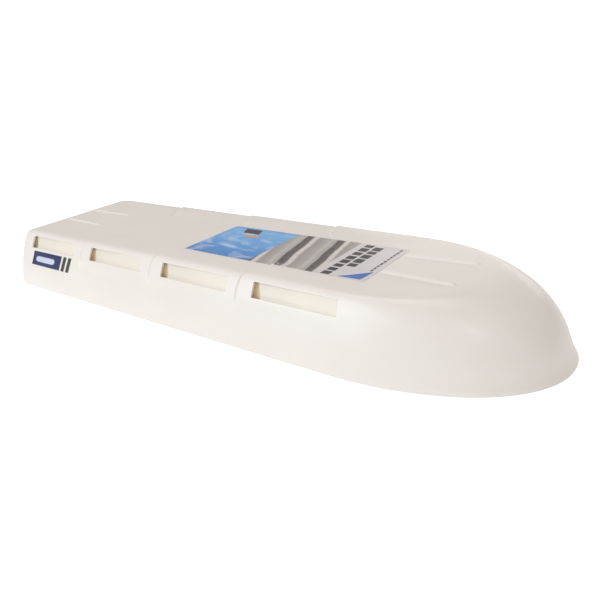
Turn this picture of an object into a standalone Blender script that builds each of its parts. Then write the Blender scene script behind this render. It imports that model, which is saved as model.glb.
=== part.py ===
"""Roof vent for a caravan or motorhome refrigerator: a long low cap over a roof base.

The cap has a square back end, leaning side walls with four louvre windows each and a
domed, round nose.  Under it stand the roof base with its duct collar, the insect screen
and the fasteners.  +X points to the nose, +Z up, and the origin is the centre of the
footprint on the roof.  All sizes are in metres.
"""
import math

import bmesh
import bpy
from mathutils import Matrix, Vector

MM = 0.001

# Cap, outside
LENGTH = 788 * MM
WIDTH = 240 * MM
ROOF_Z = 80 * MM
FOOT_Z = 1 * MM                # the cap's lower edge, just clear of the vehicle roof
WALL = 2.5 * MM
NOSE_START = 577.5 * MM        # from the back end
LIP_FLARE = 5 * MM
LIP_HEIGHT = 15 * MM
BACK_LEAN = 0.05               # back wall, run per rise
BACK_ROUND = 5 * MM
SIDE_ROOF_SHARE = 0.763        # flat part of the half width at the straight sides
TIP_ROOF_SHARE = 0.567         # flat part of the nose's reach at its tip
SIDE_POWER = 1.3
TIP_PLAN_POWER = 2.46
TIP_RISE_POWER = 1.69
NOSE_PLAN_POWER = 2.1
NOSE_BLEND_POWER = 2.3
SIDE_UPRIGHT = 4.6 * MM        # short upright foot below the leaning side wall

# Louvre windows and the hoods over them
WINDOWS = 4
PITCH = 149.6 * MM
WINDOW_START = 32 * MM
WINDOW_LENGTH = 110.6 * MM
WINDOW_LOW = 59.2 * MM
WINDOW_HIGH = 74.7 * MM
WINDOW_CORNER = 1.5 * MM
WINDOW_CUT_Y = 87.4 * MM       # the openings are cut from here outwards
HOOD_STEP = 1.2 * MM
HOOD_LEAD = 23 * MM            # each hood starts this far before its window
HOOD_BOW = 10 * MM
HOOD_CREASE = 1.5 * MM
HOOD_AXIS = (60 * MM, 31 * MM)  # line inside the shoulder that the hoods swell away from
HOOD_SIDE_ANGLES = (16, 30)     # degrees round that line where a hood grows out of the wall
HOOD_ROOF_ANGLES = (70, 92)     # and where it dies away on the roof
HOOD_BOW_ANGLES = (35, 92)

# Columns of the straight part's skin
BACK_COLUMNS = (0.0, 12 * MM, 50 * MM, 90 * MM)
CREASE_LEAD = 25 * MM
CREASE_FOLLOWERS = (40 * MM, 80 * MM)
NOSE_LEAD = 20 * MM

# Roof ribs
RIB_Y = 27 * MM
RIB_WIDTH = 6.5 * MM
RIB_RISE = 2 * MM
RIB_SINK = 1.2 * MM
RIB_ROUND = 1.8 * MM
RIB_SPANS = ((22 * MM, 112 * MM), (600 * MM, 682 * MM))

# Roof base
BASE_INSET = 5.5 * MM
BASE_THICK = 3 * MM
DUCT_LENGTH = 610 * MM
DUCT_WIDTH = 133 * MM
DUCT_START = 26 * MM
DUCT_CORNER = 12 * MM
COLLAR_WALL = 6 * MM
COLLAR_TOP = 28 * MM
ROOF_HOLE_R = 2.3 * MM
ROOF_HOLE_Y = 98 * MM
ROOF_HOLE_START = 40 * MM
ROOF_HOLE_PITCH = 130 * MM
ROOF_HOLES_A_SIDE = 5
NOSE_HOLE = (740 * MM, 25 * MM)
EAR_HALF = 6 * MM
EAR_TOP = 30 * MM
EAR_SLOT_HALF = 2.6 * MM
EAR_GUSSET_HALF = 1.5 * MM
EAR_GUSSET_TOP = 12 * MM

# Insect screen and its retaining frame
GAP = 0.3 * MM
SCREEN_THICK = 0.8 * MM
SCREEN_INSET = 3 * MM
SCREEN_BAR = 3 * MM
SCREEN_CELLS = (16, 4)
RETAINER_THICK = 2 * MM
RETAINER_WIDTH = 7 * MM
RETAINER_CORNER = 2 * MM
SCREEN_SCREW = (2.6 * MM, 1.6 * MM, 1.2 * MM, 9 * MM)  # head radius and height, shank radius, length
SCREEN_SCREW_SHARES = (-0.4, 0.0, 0.4)                 # along the duct's length
SCREEN_HOLE_R = 1.6 * MM
SCREEN_HOLE_DEPTH = 8 * MM

# Louvre baffles
BAFFLE_THICK = 1.5 * MM
BAFFLE_Y_LOW = 96 * MM         # outer face at the window's sill
BAFFLE_Y_HIGH = 91.5 * MM      # outer face at the window's head
BAFFLE_BOTTOM = 47 * MM
BAFFLE_TOP = 76.2 * MM
BAFFLE_SLOT = 4 * MM           # open slot at the back end of each window
BAFFLE_LAP = 8 * MM
WEB_Z = 69 * MM
WEB_THICK = 2 * MM
WEB_INNER_Y = 77 * MM
BOSS_Y = 83 * MM
BOSS_R = 4 * MM
BOSS_SHIFT = 4 * MM            # the bosses stand this far forward of the pillars' middles
BOSS_HOLE_TOP = 76.5 * MM
BAFFLE_HOLE_R = 1.8 * MM
BAFFLE_SCREW = (3 * MM, 2 * MM, 1.5 * MM, 7 * MM)

# Nose posts and grommets
FRONT_POST = (670 * MM, 40 * MM)
FRONT_BOSS_R = 9 * MM
POST_FOOT_R = 6.5 * MM
POST_WAIST_R = 4 * MM
POST_SHOULDER_Z = 44 * MM
POST_TIP = (42 * MM, 66 * MM)
POST_TIP_R = (3.95 * MM, 3 * MM)
GROMMET_Z = 52 * MM
GROMMET_RISE = 8 * MM
GROMMET_RIM_THICK = 1.5 * MM
GROMMET_BORE_R = 4.3 * MM
GROMMET_BODY_R = 6 * MM
GROMMET_RIM_R = 8.2 * MM
GROMMET_SEAT_R = 6.3 * MM
GROMMET_SEAT_TOP = 70 * MM

# Rear fixings
REAR_FIX_Y = 60 * MM
REAR_FIX_Z = 20 * MM
REAR_BOSS_R = 9.5 * MM
REAR_BOSS_START = 1.8 * MM
REAR_HOLE_R = 2.5 * MM
POCKET_R = 7 * MM
POCKET_FLOOR = 4.9 * MM
POCKET_BACK = 8 * MM
CHEEK_X = (2.5 * MM, 15.5 * MM)
CHEEK_Z = (12 * MM, 28 * MM)
CHEEK_REACH = (8 * MM, 10 * MM)  # from the screw's axis
EAR_THICK = 3 * MM
NUT_THICK = 2.5 * MM
NUT_HALF_WIDTH = 7.7 * MM
NUT_HALF_HEIGHT = 6 * MM
NUT_HOLE_R = 2.3 * MM
COVER_SCREW = (4.2 * MM, 2.3 * MM, 2 * MM, 14 * MM)
COVER_SCREW_SEAT = 3.6 * MM
WASHER_MIDDLE = 4.25 * MM
WASHER_HALF = 0.35 * MM
WASHER_R = (2.35 * MM, 5.6 * MM)
CUT_PAST = 2 * MM              # cutters run this far past what they cut

# Printed labels
LABEL_X = (328 * MM, 596 * MM)
LABEL_Y = (-60 * MM, 42 * MM)
LABEL_THICK = 0.3 * MM
BADGE_Z = (36 * MM, 57 * MM)
BADGE_X = (34 * MM, 135 * MM)
BADGE_SLANT = 8 * MM
BADGE_STAND_OFF = 0.55 * MM    # middle of the film, outside the wall
LABEL_CORNER = 3 * MM

HALF_WIDTH = WIDTH / 2
NOSE_REACH = LENGTH - NOSE_START - LIP_FLARE
BACK_X = -LENGTH / 2
SIDES = (("right", -1), ("left", 1))


def from_back(distance):
    """World X of a point at a distance from the square back end."""
    return BACK_X + distance


# ---------------------------------------------------------------- scene helpers

def clear_scene():
    """Remove whatever the new file starts with."""
    for item in list(bpy.data.objects):
        bpy.data.objects.remove(item, do_unlink=True)


def make_collection(name):
    collection = bpy.data.collections.new(name)
    bpy.context.scene.collection.children.link(collection)
    return collection


def make_material(name, colour, roughness, metallic=0.0):
    material = bpy.data.materials.new(name)
    material.use_nodes = True
    shader = material.node_tree.nodes["Principled BSDF"]
    shader.inputs["Base Color"].default_value = (*colour, 1.0)
    shader.inputs["Roughness"].default_value = roughness
    shader.inputs["Metallic"].default_value = metallic
    material.diffuse_color = (*colour, 1.0)
    return material


def add_object(name, mesh_source, material=None, smooth_angle=35):
    """Make a part from a bmesh or a mesh, link it and shade it."""
    if isinstance(mesh_source, bmesh.types.BMesh):
        mesh = bpy.data.meshes.new(name)
        bmesh.ops.recalc_face_normals(mesh_source, faces=mesh_source.faces)
        mesh_source.to_mesh(mesh)
        mesh_source.free()
    else:
        mesh = mesh_source
    part = bpy.data.objects.new(name, mesh)
    parts.objects.link(part)
    if material:
        mesh.materials.append(material)
        mesh.shade_smooth()
        mesh.set_sharp_from_angle(angle=math.radians(smooth_angle))
    return part


def add_cutter(name, source):
    """Make a hidden operand for a Boolean."""
    cutter = add_object(name, source)
    parts.objects.unlink(cutter)
    cutters.objects.link(cutter)
    cutter.hide_render = True
    cutter.display_type = "WIRE"
    return cutter


def boolean(part, operation, operand):
    modifier = part.modifiers.new(operation.lower(), "BOOLEAN")
    modifier.operation = operation
    modifier.object = operand
    return modifier


def add_box(bm, low, high):
    """Add a box between two corners."""
    size = [high[axis] - low[axis] for axis in range(3)]
    middle = [(high[axis] + low[axis]) / 2 for axis in range(3)]
    scale = Matrix.Diagonal((*size, 1.0))
    bmesh.ops.create_cube(bm, size=1.0, matrix=Matrix.Translation(middle) @ scale)


def add_rod(bm, start, end, radius, end_radius=None, segments=20):
    """Add a cylinder, or a cone, between two points."""
    start, end = Vector(start), Vector(end)
    axis = end - start
    turn = Vector((0, 0, 1)).rotation_difference(axis).to_matrix().to_4x4()
    place = Matrix.Translation((start + end) / 2) @ turn
    last = radius if end_radius is None else end_radius
    bmesh.ops.create_cone(bm, cap_ends=True, segments=segments, radius1=radius,
                          radius2=last, depth=axis.length, matrix=place)


def turned_part(name, profile, material, segments=18):
    """Turn a closed profile of (radius, z) points about Z with a Screw modifier."""
    bm = bmesh.new()
    points = [bm.verts.new((radius, 0, z)) for radius, z in profile]
    for first, second in zip(points, points[1:]):
        bm.edges.new((first, second))
    if profile[0][0] > 0:
        bm.edges.new((points[-1], points[0]))
    mesh = bpy.data.meshes.new(name)
    bm.to_mesh(mesh)
    bm.free()
    part = bpy.data.objects.new(name, mesh)
    parts.objects.link(part)
    mesh.materials.append(material)
    screw = part.modifiers.new("turn", "SCREW")
    screw.steps = segments
    screw.render_steps = segments
    screw.use_merge_vertices = True
    screw.merge_threshold = 0.00001
    screw.use_smooth_shade = True
    return part


def flat_plate(name, outlines, z_low, z_high, material=None):
    """Extrude closed outlines, of which inner ones are holes, into a plate."""
    curve = bpy.data.curves.new(name, "CURVE")
    curve.dimensions = "2D"
    curve.fill_mode = "BOTH"
    curve.extrude = (z_high - z_low) / 2
    for outline in outlines:
        spline = curve.splines.new("POLY")
        spline.points.add(len(outline) - 1)
        for point, (x, y) in zip(spline.points, outline):
            point.co = (x, y, 0, 1)
        spline.use_cyclic_u = True
    guide = bpy.data.objects.new(name + "_outline", curve)
    guide.location.z = (z_high + z_low) / 2
    parts.objects.link(guide)
    depsgraph = bpy.context.evaluated_depsgraph_get()
    mesh = bpy.data.meshes.new_from_object(guide.evaluated_get(depsgraph))
    bm = bmesh.new()
    bm.from_mesh(mesh)
    bmesh.ops.remove_doubles(bm, verts=bm.verts, dist=0.00001)
    bmesh.ops.transform(bm, matrix=Matrix.Translation(guide.location), verts=bm.verts)
    bpy.data.objects.remove(guide)
    bpy.data.meshes.remove(mesh)
    return add_object(name, bm, material)


def rounded_rectangle(x_low, x_high, y_low, y_high, radius, steps=5):
    """Points of a rectangle with round corners, anticlockwise."""
    corners = ((x_high, y_high, 0), (x_low, y_high, 90), (x_low, y_low, 180), (x_high, y_low, 270))
    points = []
    for corner_x, corner_y, start in corners:
        middle_x = corner_x - math.copysign(radius, corner_x - (x_low + x_high) / 2)
        middle_y = corner_y - math.copysign(radius, corner_y - (y_low + y_high) / 2)
        for step in range(steps + 1):
            angle = math.radians(start + 90 * step / steps)
            points.append((middle_x + radius * math.cos(angle), middle_y + radius * math.sin(angle)))
    return points


# ---------------------------------------------------------------- cap surface

def smooth_step(value, low, high):
    share = min(max((value - low) / (high - low), 0.0), 1.0)
    return share * share * (3 - 2 * share)


def blend(side_value, tip_value, weight):
    return side_value + (tip_value - side_value) * weight


def straight_station(distance):
    """A cross-section of the straight part: its middle, its reach and its nose weight."""
    return {"middle": distance, "reach": (distance, HALF_WIDTH), "nose": 0.0}


def nose_station(angle):
    """A radial section of the nose, from 0 at the side to 90 degrees at the tip."""
    sine, cosine = math.sin(angle), max(math.cos(angle), 0.0)
    reach_x = NOSE_START + NOSE_REACH * sine ** (2 / NOSE_PLAN_POWER)
    reach_y = HALF_WIDTH * cosine ** (2 / NOSE_PLAN_POWER)
    return {"middle": NOSE_START, "reach": (reach_x, reach_y), "nose": sine, "outward": (sine, cosine)}


def section_point(station, turn):
    """Point of the right-hand half skin, before the hoods, at a section angle of 0 to 90.

    Angle 0 is the foot and 90 is where the flat roof starts.
    """
    weight = station["nose"] ** NOSE_BLEND_POWER
    roof_share = blend(SIDE_ROOF_SHARE, TIP_ROOF_SHARE, weight)
    plan_power = blend(SIDE_POWER, TIP_PLAN_POWER, weight)
    rise_power = blend(SIDE_POWER, TIP_RISE_POWER, weight)
    foot = FOOT_Z + blend(SIDE_UPRIGHT, 0.0, weight)
    cosine, sine = max(math.cos(turn), 0.0), math.sin(turn)
    share = roof_share + (1 - roof_share) * cosine ** (2 / plan_power)
    z = foot + (ROOF_Z - foot) * sine ** (2 / rise_power)
    return roof_point(station, share, z)


def roof_point(station, share, z=ROOF_Z):
    """Point at a share of the way from the middle line to the outline."""
    reach_x, reach_y = station["reach"]
    x = station["middle"] + share * (reach_x - station["middle"])
    y = -share * reach_y
    if station["nose"] > 0:
        low = max(1 - (z - FOOT_Z) / LIP_HEIGHT, 0.0)
        flare = LIP_FLARE * station["nose"] * low * low
        x += flare * station["outward"][0]
        y -= flare * station["outward"][1]
    return Vector((x, y, z))


def hood_angle(point):
    """Angle round the line inside the shoulder: 0 faces the side and 90 the sky."""
    return math.degrees(math.atan2(point.z - HOOD_AXIS[1], -point.y - HOOD_AXIS[0]))


def hood_mask(point):
    """Share of a hood's rise at a point: the hoods lie over the windows and the shoulder."""
    angle = hood_angle(point)
    return smooth_step(angle, *HOOD_SIDE_ANGLES) * (1 - smooth_step(angle, *HOOD_ROOF_ANGLES))


def hood_rise(distance):
    """How far a hood stands proud: it steps up at its crease and sinks away towards the nose."""
    first = WINDOW_START - HOOD_LEAD
    if distance <= first:
        return HOOD_STEP
    return HOOD_STEP * (1 - ((distance - first) % PITCH) / PITCH)


def with_hood(point, distance):
    """Move a skin point of the straight part out by its hood."""
    if distance >= NOSE_START:
        return point
    out = Vector((0, point.y + HOOD_AXIS[0], point.z - HOOD_AXIS[1])).normalized()
    return point + out * hood_rise(distance) * hood_mask(point)


def straight_columns():
    """Distances of the straight part's columns, and which of them are creases."""
    columns = [(distance, False) for distance in BACK_COLUMNS]
    for hood in range(1, WINDOWS):
        crease = WINDOW_START - HOOD_LEAD + hood * PITCH
        columns.append((crease - CREASE_LEAD, False))
        columns.append((crease - HOOD_CREASE / 2, True))
        columns.append((crease + HOOD_CREASE / 2, True))
        columns += [(crease + follower, False) for follower in CREASE_FOLLOWERS]
    columns.append((NOSE_START - NOSE_LEAD, False))
    return columns


SECTION_TURNS = [math.radians(degrees) for degrees in (0, 6, 14, 22, 30, 38, 46, 54, 62, 70, 78, 84, 90)]
ROOF_SHARES = (0.88, 0.7, 0.35)
NOSE_STEPS = 16


def skin_column(station, distance, crease):
    """Skin points of one station, from its foot to the edge of the roof's last row."""
    points = []
    if station["nose"] == 0:
        points.append(Vector((station["middle"], -HALF_WIDTH, FOOT_Z)))
    else:
        foot = section_point(station, 0.0)
        points.append(Vector((foot.x, foot.y, FOOT_Z)))
    for turn in SECTION_TURNS[1:]:
        points.append(section_point(station, turn))
    edge = blend(SIDE_ROOF_SHARE, TIP_ROOF_SHARE, station["nose"] ** NOSE_BLEND_POWER)
    for share in ROOF_SHARES:
        points.append(roof_point(station, share * edge))
    if station["nose"] == 0:
        points = [with_hood(point, distance) for point in points]
    if crease:
        for point in points:
            point.x += HOOD_BOW * smooth_step(hood_angle(point), *HOOD_BOW_ANGLES)
    if distance == 0:
        for point in points:
            point.x += BACK_LEAN * (point.z - FOOT_Z)
    return points


def build_skin():
    """Half of the cap's outer skin, open at the middle plane and at the foot."""
    bm = bmesh.new()
    columns = []
    middles = []
    for distance, crease in straight_columns():
        columns.append(skin_column(straight_station(distance), distance, crease))
        middle = Vector((distance, 0, ROOF_Z))
        if distance == 0:
            middle.x += BACK_LEAN * (ROOF_Z - FOOT_Z)
        middles.append(bm.verts.new(middle))
    pole = bm.verts.new((NOSE_START, 0, ROOF_Z))
    for step in range(NOSE_STEPS + 1):
        angle = math.radians(90) * step / NOSE_STEPS
        columns.append(skin_column(nose_station(angle), NOSE_START, False))
        middles.append(pole)
    for point in columns[-1]:
        point.y = 0.0
    rows = [[bm.verts.new(point) for point in column] for column in columns]
    for here, there, top, next_top in zip(rows, rows[1:], middles, middles[1:]):
        for low in range(len(here) - 1):
            bm.faces.new((here[low], there[low], there[low + 1], here[low + 1]))
        if top is next_top:
            bm.faces.new((here[-1], there[-1], top))
        else:
            bm.faces.new((here[-1], there[-1], next_top, top))
    back_foot = bm.verts.new((0, 0, FOOT_Z))
    back = bm.faces.new([middles[0]] + rows[0][::-1] + [back_foot])
    weight = bm.edges.layers.float.new("bevel_weight_edge")
    for edge in back.edges:
        if edge.is_manifold:
            edge[weight] = 1.0
    bmesh.ops.translate(bm, verts=bm.verts, vec=(BACK_X, 0, 0))
    return bm


def window_cutters():
    """Boxes that open the windows, with their corners rounded."""
    bm = bmesh.new()
    for index in range(WINDOWS):
        start = from_back(WINDOW_START + index * PITCH)
        for _, side in SIDES:
            y_low, y_high = sorted((side * WINDOW_CUT_Y, side * HALF_WIDTH))
            add_box(bm, (start, y_low, WINDOW_LOW), (start + WINDOW_LENGTH, y_high, WINDOW_HIGH))
    crossing = [edge for edge in bm.edges if abs(edge.verts[0].co.y - edge.verts[1].co.y) > WALL]
    bmesh.ops.bevel(bm, geom=crossing, offset=WINDOW_CORNER, segments=2, profile=0.5, affect="EDGES")
    return add_cutter("window_openings", bm)


def boss_places():
    """Distances of the baffle screws: behind the pillars between the windows."""
    pillar_middle = WINDOW_START + (WINDOW_LENGTH + PITCH) / 2
    return [pillar_middle + BOSS_SHIFT + index * PITCH for index in range(WINDOWS - 1)]


def build_cap(material):
    """The moulded cover: skin, wall, windows, bosses and ribs."""
    cap = add_object("cover_shell", build_skin(), material, smooth_angle=32)
    mirror = cap.modifiers.new("mirror", "MIRROR")
    mirror.use_axis = (False, True, False)
    mirror.merge_threshold = 0.00005
    bevel = cap.modifiers.new("back_edge", "BEVEL")
    bevel.limit_method = "WEIGHT"
    bevel.width = BACK_ROUND
    bevel.segments = 3
    solidify = cap.modifiers.new("wall", "SOLIDIFY")
    solidify.thickness = WALL
    solidify.offset = -1
    solidify.use_even_offset = True
    boolean(cap, "DIFFERENCE", window_cutters())
    boolean(cap, "UNION", cap_bosses())
    boolean(cap, "DIFFERENCE", cap_holes())
    boolean(cap, "UNION", roof_ribs())
    boolean(cap, "UNION", nut_cheeks())
    boolean(cap, "DIFFERENCE", rear_screw_holes())


def cap_bosses():
    """Screw bosses under the roof, grommet bosses in the nose, pocket bosses at the back."""
    bm = bmesh.new()
    roof_inside = ROOF_Z - WALL / 2
    for _, side in SIDES:
        for place in boss_places():
            x, y = from_back(place), side * BOSS_Y
            add_rod(bm, (x, y, WEB_Z + WEB_THICK + GAP), (x, y, roof_inside), BOSS_R)
        x, y = from_back(FRONT_POST[0]), side * FRONT_POST[1]
        add_rod(bm, (x, y, GROMMET_Z), (x, y, roof_inside), FRONT_BOSS_R, segments=24)
        y = side * REAR_FIX_Y
        start, end = from_back(REAR_BOSS_START), from_back(POCKET_BACK)
        add_rod(bm, (start, y, REAR_FIX_Z), (end, y, REAR_FIX_Z), REAR_BOSS_R, segments=24)
    return add_cutter("cap_bosses", bm)


def cap_holes():
    """Pilot holes, grommet seats and the rear screws' pockets."""
    bm = bmesh.new()
    for _, side in SIDES:
        for place in boss_places():
            x, y = from_back(place), side * BOSS_Y
            add_rod(bm, (x, y, WEB_Z), (x, y, BOSS_HOLE_TOP), BAFFLE_HOLE_R, segments=16)
        x, y = from_back(FRONT_POST[0]), side * FRONT_POST[1]
        seat_start = GROMMET_Z - CUT_PAST / 2
        add_rod(bm, (x, y, seat_start), (x, y, GROMMET_SEAT_TOP), GROMMET_SEAT_R, segments=24)
        y = side * REAR_FIX_Y
        start, floor = from_back(-CUT_PAST), from_back(POCKET_FLOOR)
        add_rod(bm, (start, y, REAR_FIX_Z), (floor, y, REAR_FIX_Z), POCKET_R, segments=24)
    return add_cutter("cap_holes", bm)


def rear_screw_holes():
    """Holes through the pocket floors."""
    bm = bmesh.new()
    for _, side in SIDES:
        y = side * REAR_FIX_Y
        start, end = from_back(-CUT_PAST), from_back(POCKET_BACK + CUT_PAST)
        add_rod(bm, (start, y, REAR_FIX_Z), (end, y, REAR_FIX_Z), REAR_HOLE_R, segments=20)
    return add_cutter("rear_screw_holes", bm)


def nut_cheeks():
    """Cheeks behind the rear pockets, which stop the nut plates turning."""
    bm = bmesh.new()
    for _, side in SIDES:
        for cheek in (-1, 1):
            faces = [side * REAR_FIX_Y + cheek * reach for reach in CHEEK_REACH]
            low = (from_back(CHEEK_X[0]), min(faces), CHEEK_Z[0])
            high = (from_back(CHEEK_X[1]), max(faces), CHEEK_Z[1])
            add_box(bm, low, high)
    return add_cutter("nut_cheeks", bm)


def roof_ribs():
    """Low ribs along the roof: bars with a curved back, sunk half into the skin."""
    bm = bmesh.new()
    for start, end in RIB_SPANS:
        for _, side in SIDES:
            low = (from_back(start), side * RIB_Y - RIB_WIDTH / 2, ROOF_Z - RIB_SINK)
            high = (from_back(end), side * RIB_Y + RIB_WIDTH / 2, ROOF_Z + RIB_RISE)
            add_box(bm, low, high)
    top_edges = [edge for edge in bm.edges if min(vert.co.z for vert in edge.verts) > ROOF_Z]
    bmesh.ops.bevel(bm, geom=top_edges, offset=RIB_ROUND, segments=3, profile=0.5, affect="EDGES")
    return add_cutter("roof_ribs", bm)


# ---------------------------------------------------------------- inside the cap

def sloped_box(bm, x_low, x_high, side):
    """A baffle blade: a thin plate that leans like the side wall."""
    lean = (BAFFLE_Y_LOW - BAFFLE_Y_HIGH) / (WINDOW_HIGH - WINDOW_LOW)
    corners = []
    for x in (x_low, x_high):
        for z in (BAFFLE_BOTTOM, BAFFLE_TOP):
            outer = BAFFLE_Y_LOW - lean * (z - WINDOW_LOW)
            for y in (outer, outer - BAFFLE_THICK):
                corners.append(bm.verts.new((x, side * y, z)))
    for face in ((0, 1, 3, 2), (4, 6, 7, 5), (0, 4, 5, 1), (2, 3, 7, 6), (0, 2, 6, 4), (1, 5, 7, 3)):
        bm.faces.new([corners[index] for index in face])


def build_baffle(name, side, material):
    """A comb of four blades behind the windows, hung from one web under the roof."""
    web = bmesh.new()
    first = from_back(WINDOW_START + BAFFLE_SLOT)
    last = from_back(WINDOW_START + (WINDOWS - 1) * PITCH + WINDOW_LENGTH + BAFFLE_LAP)
    outer = BAFFLE_Y_HIGH + 1 * MM
    y_low, y_high = sorted((side * WEB_INNER_Y, side * outer))
    add_box(web, (first, y_low, WEB_Z), (last, y_high, WEB_Z + WEB_THICK))
    baffle = add_object(name, web, material)
    blades = bmesh.new()
    for index in range(WINDOWS):
        start = from_back(WINDOW_START + index * PITCH)
        sloped_box(blades, start + BAFFLE_SLOT, start + WINDOW_LENGTH + BAFFLE_LAP, side)
    boolean(baffle, "UNION", add_cutter(name + "_blades", blades))
    holes = bmesh.new()
    for place in boss_places():
        x, y = from_back(place), side * BOSS_Y
        low, high = WEB_Z - CUT_PAST, WEB_Z + WEB_THICK + CUT_PAST
        add_rod(holes, (x, y, low), (x, y, high), BAFFLE_HOLE_R, segments=16)
    boolean(baffle, "DIFFERENCE", add_cutter(name + "_holes", holes))


def pan_head_profile(head_r, head_h, shank_r, length):
    """Screw profile with its head at the top and its tip at the bottom, from the axis out."""
    return [(0, head_h), (0.55 * head_r, head_h), (0.9 * head_r, 0.6 * head_h), (head_r, 0.25 * head_h),
            (head_r, 0), (shank_r, 0), (shank_r, -length + shank_r), (0.3 * shank_r, -length), (0, -length)]


def add_screw(name, place, direction, sizes, material):
    """Turn a screw and point its head along a direction."""
    screw = turned_part(name, pan_head_profile(*sizes), material, segments=12)
    screw.location = place
    screw.rotation_mode = "QUATERNION"
    screw.rotation_quaternion = Vector((0, 0, 1)).rotation_difference(Vector(direction))


def build_baffle_screws(material):
    """Screws driven up through the webs into the roof's bosses."""
    for label, side in SIDES:
        for index, place in enumerate(boss_places(), start=1):
            seat = (from_back(place), side * BOSS_Y, WEB_Z - GAP)
            add_screw(f"baffle_screw_{label}_{index}", seat, (0, 0, -1), BAFFLE_SCREW, material)


def build_grommets(material):
    """Rubber bushes in the nose bosses, which push on to the base's posts."""
    top, rim = GROMMET_Z + GROMMET_RISE, GROMMET_Z - GAP
    bottom = rim - GROMMET_RIM_THICK
    profile = [(GROMMET_BORE_R, top), (GROMMET_BODY_R, top), (GROMMET_BODY_R, rim), (GROMMET_RIM_R, rim),
               (GROMMET_RIM_R, bottom), (GROMMET_BORE_R, bottom)]
    for label, side in SIDES:
        grommet = turned_part(f"front_grommet_{label}", profile, material)
        grommet.location = (from_back(FRONT_POST[0]), side * FRONT_POST[1], 0)


def build_rear_fixings(material):
    """Rear screws with their washers, and the nut plates behind the base's ears."""
    inner, outer = WASHER_R
    profile = [(inner, WASHER_HALF), (outer, WASHER_HALF), (outer, -WASHER_HALF), (inner, -WASHER_HALF)]
    nut_start = from_back(POCKET_BACK + 2 * GAP + EAR_THICK + GAP)
    nut_end = nut_start + NUT_THICK
    for label, side in SIDES:
        y = side * REAR_FIX_Y
        seat = (from_back(COVER_SCREW_SEAT), y, REAR_FIX_Z)
        add_screw(f"cover_screw_{label}", seat, (-1, 0, 0), COVER_SCREW, material)
        washer = turned_part(f"cover_washer_{label}", profile, material)
        washer.location = (from_back(WASHER_MIDDLE), y, REAR_FIX_Z)
        washer.rotation_euler.y = math.radians(90)
        plate = bmesh.new()
        low = (nut_start, y - NUT_HALF_WIDTH, REAR_FIX_Z - NUT_HALF_HEIGHT)
        high = (nut_end, y + NUT_HALF_WIDTH, REAR_FIX_Z + NUT_HALF_HEIGHT)
        add_box(plate, low, high)
        nut = add_object(f"nut_plate_{label}", plate, material)
        hole = bmesh.new()
        start, end = (nut_start - CUT_PAST, y, REAR_FIX_Z), (nut_end + CUT_PAST, y, REAR_FIX_Z)
        add_rod(hole, start, end, NUT_HOLE_R)
        boolean(nut, "DIFFERENCE", add_cutter(f"nut_hole_{label}", hole))


# ---------------------------------------------------------------- roof base

def base_outline():
    """Footprint of the base flange: the cap's outline, moved in."""
    half = HALF_WIDTH - BASE_INSET
    reach = NOSE_REACH + LIP_FLARE - BASE_INSET
    points = [(from_back(BASE_INSET), half), (from_back(BASE_INSET), -half)]
    steps = 28
    for step in range(steps + 1):
        angle = math.radians(-90 + 180 * step / steps)
        cosine, sine = max(math.cos(angle), 0.0), math.sin(angle)
        x = from_back(NOSE_START) + reach * cosine ** (2 / NOSE_PLAN_POWER)
        y = half * math.copysign(abs(sine) ** (2 / NOSE_PLAN_POWER), sine)
        points.append((x, y))
    return points


def duct_outline(margin, corner):
    """Outline of the duct's opening, grown by a margin."""
    start = from_back(DUCT_START - margin)
    end = from_back(DUCT_START + DUCT_LENGTH + margin)
    half = DUCT_WIDTH / 2 + margin
    return rounded_rectangle(start, end, -half, half, corner)


def screen_screw_places():
    """Middle of the collar's wall at three places a side and one at each end."""
    mid_wall = COLLAR_WALL / 2
    middle = from_back(DUCT_START + DUCT_LENGTH / 2)
    side_y = DUCT_WIDTH / 2 + mid_wall
    places = []
    for share in SCREEN_SCREW_SHARES:
        for _, side in SIDES:
            places.append((middle + share * DUCT_LENGTH, side * side_y))
    for end in (-1, 1):
        places.append((middle + end * (DUCT_LENGTH / 2 + mid_wall), 0.0))
    return places


def roof_hole_places():
    """Places of the holes for the screws that hold the flange to the roof."""
    places = []
    for index in range(ROOF_HOLES_A_SIDE):
        for _, side in SIDES:
            places.append((from_back(ROOF_HOLE_START + index * ROOF_HOLE_PITCH), side * ROOF_HOLE_Y))
    for _, side in SIDES:
        places.append((from_back(NOSE_HOLE[0]), side * NOSE_HOLE[1]))
    return places


def build_base(material):
    """The flange with its duct collar, nose posts and rear ears."""
    base = flat_plate("roof_base", [base_outline(), duct_outline(0, DUCT_CORNER)], 0, BASE_THICK, material)
    collar_outlines = [duct_outline(COLLAR_WALL, DUCT_CORNER + COLLAR_WALL), duct_outline(0, DUCT_CORNER)]
    collar = flat_plate("duct_collar", collar_outlines, BASE_THICK / 2, COLLAR_TOP)
    parts.objects.unlink(collar)
    cutters.objects.link(collar)
    collar.hide_render = True
    collar.display_type = "WIRE"
    boolean(base, "UNION", collar)
    boolean(base, "UNION", base_uprights())
    boolean(base, "UNION", post_tips())
    boolean(base, "UNION", ear_gussets())
    boolean(base, "DIFFERENCE", base_holes())


def ear_span():
    """X of the rear ears' two faces."""
    start = from_back(POCKET_BACK + 2 * GAP)
    return start, start + EAR_THICK


def base_uprights():
    """Ears behind the rear pockets and the lower parts of the nose posts."""
    bm = bmesh.new()
    ear_start, ear_end = ear_span()
    foot = BASE_THICK / 2
    for _, side in SIDES:
        y = side * REAR_FIX_Y
        add_box(bm, (ear_start, y - EAR_HALF, foot), (ear_end, y + EAR_HALF, EAR_TOP))
        x, y = from_back(FRONT_POST[0]), side * FRONT_POST[1]
        add_rod(bm, (x, y, foot), (x, y, POST_SHOULDER_Z), POST_FOOT_R, POST_WAIST_R)
    return add_cutter("base_uprights", bm)


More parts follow.
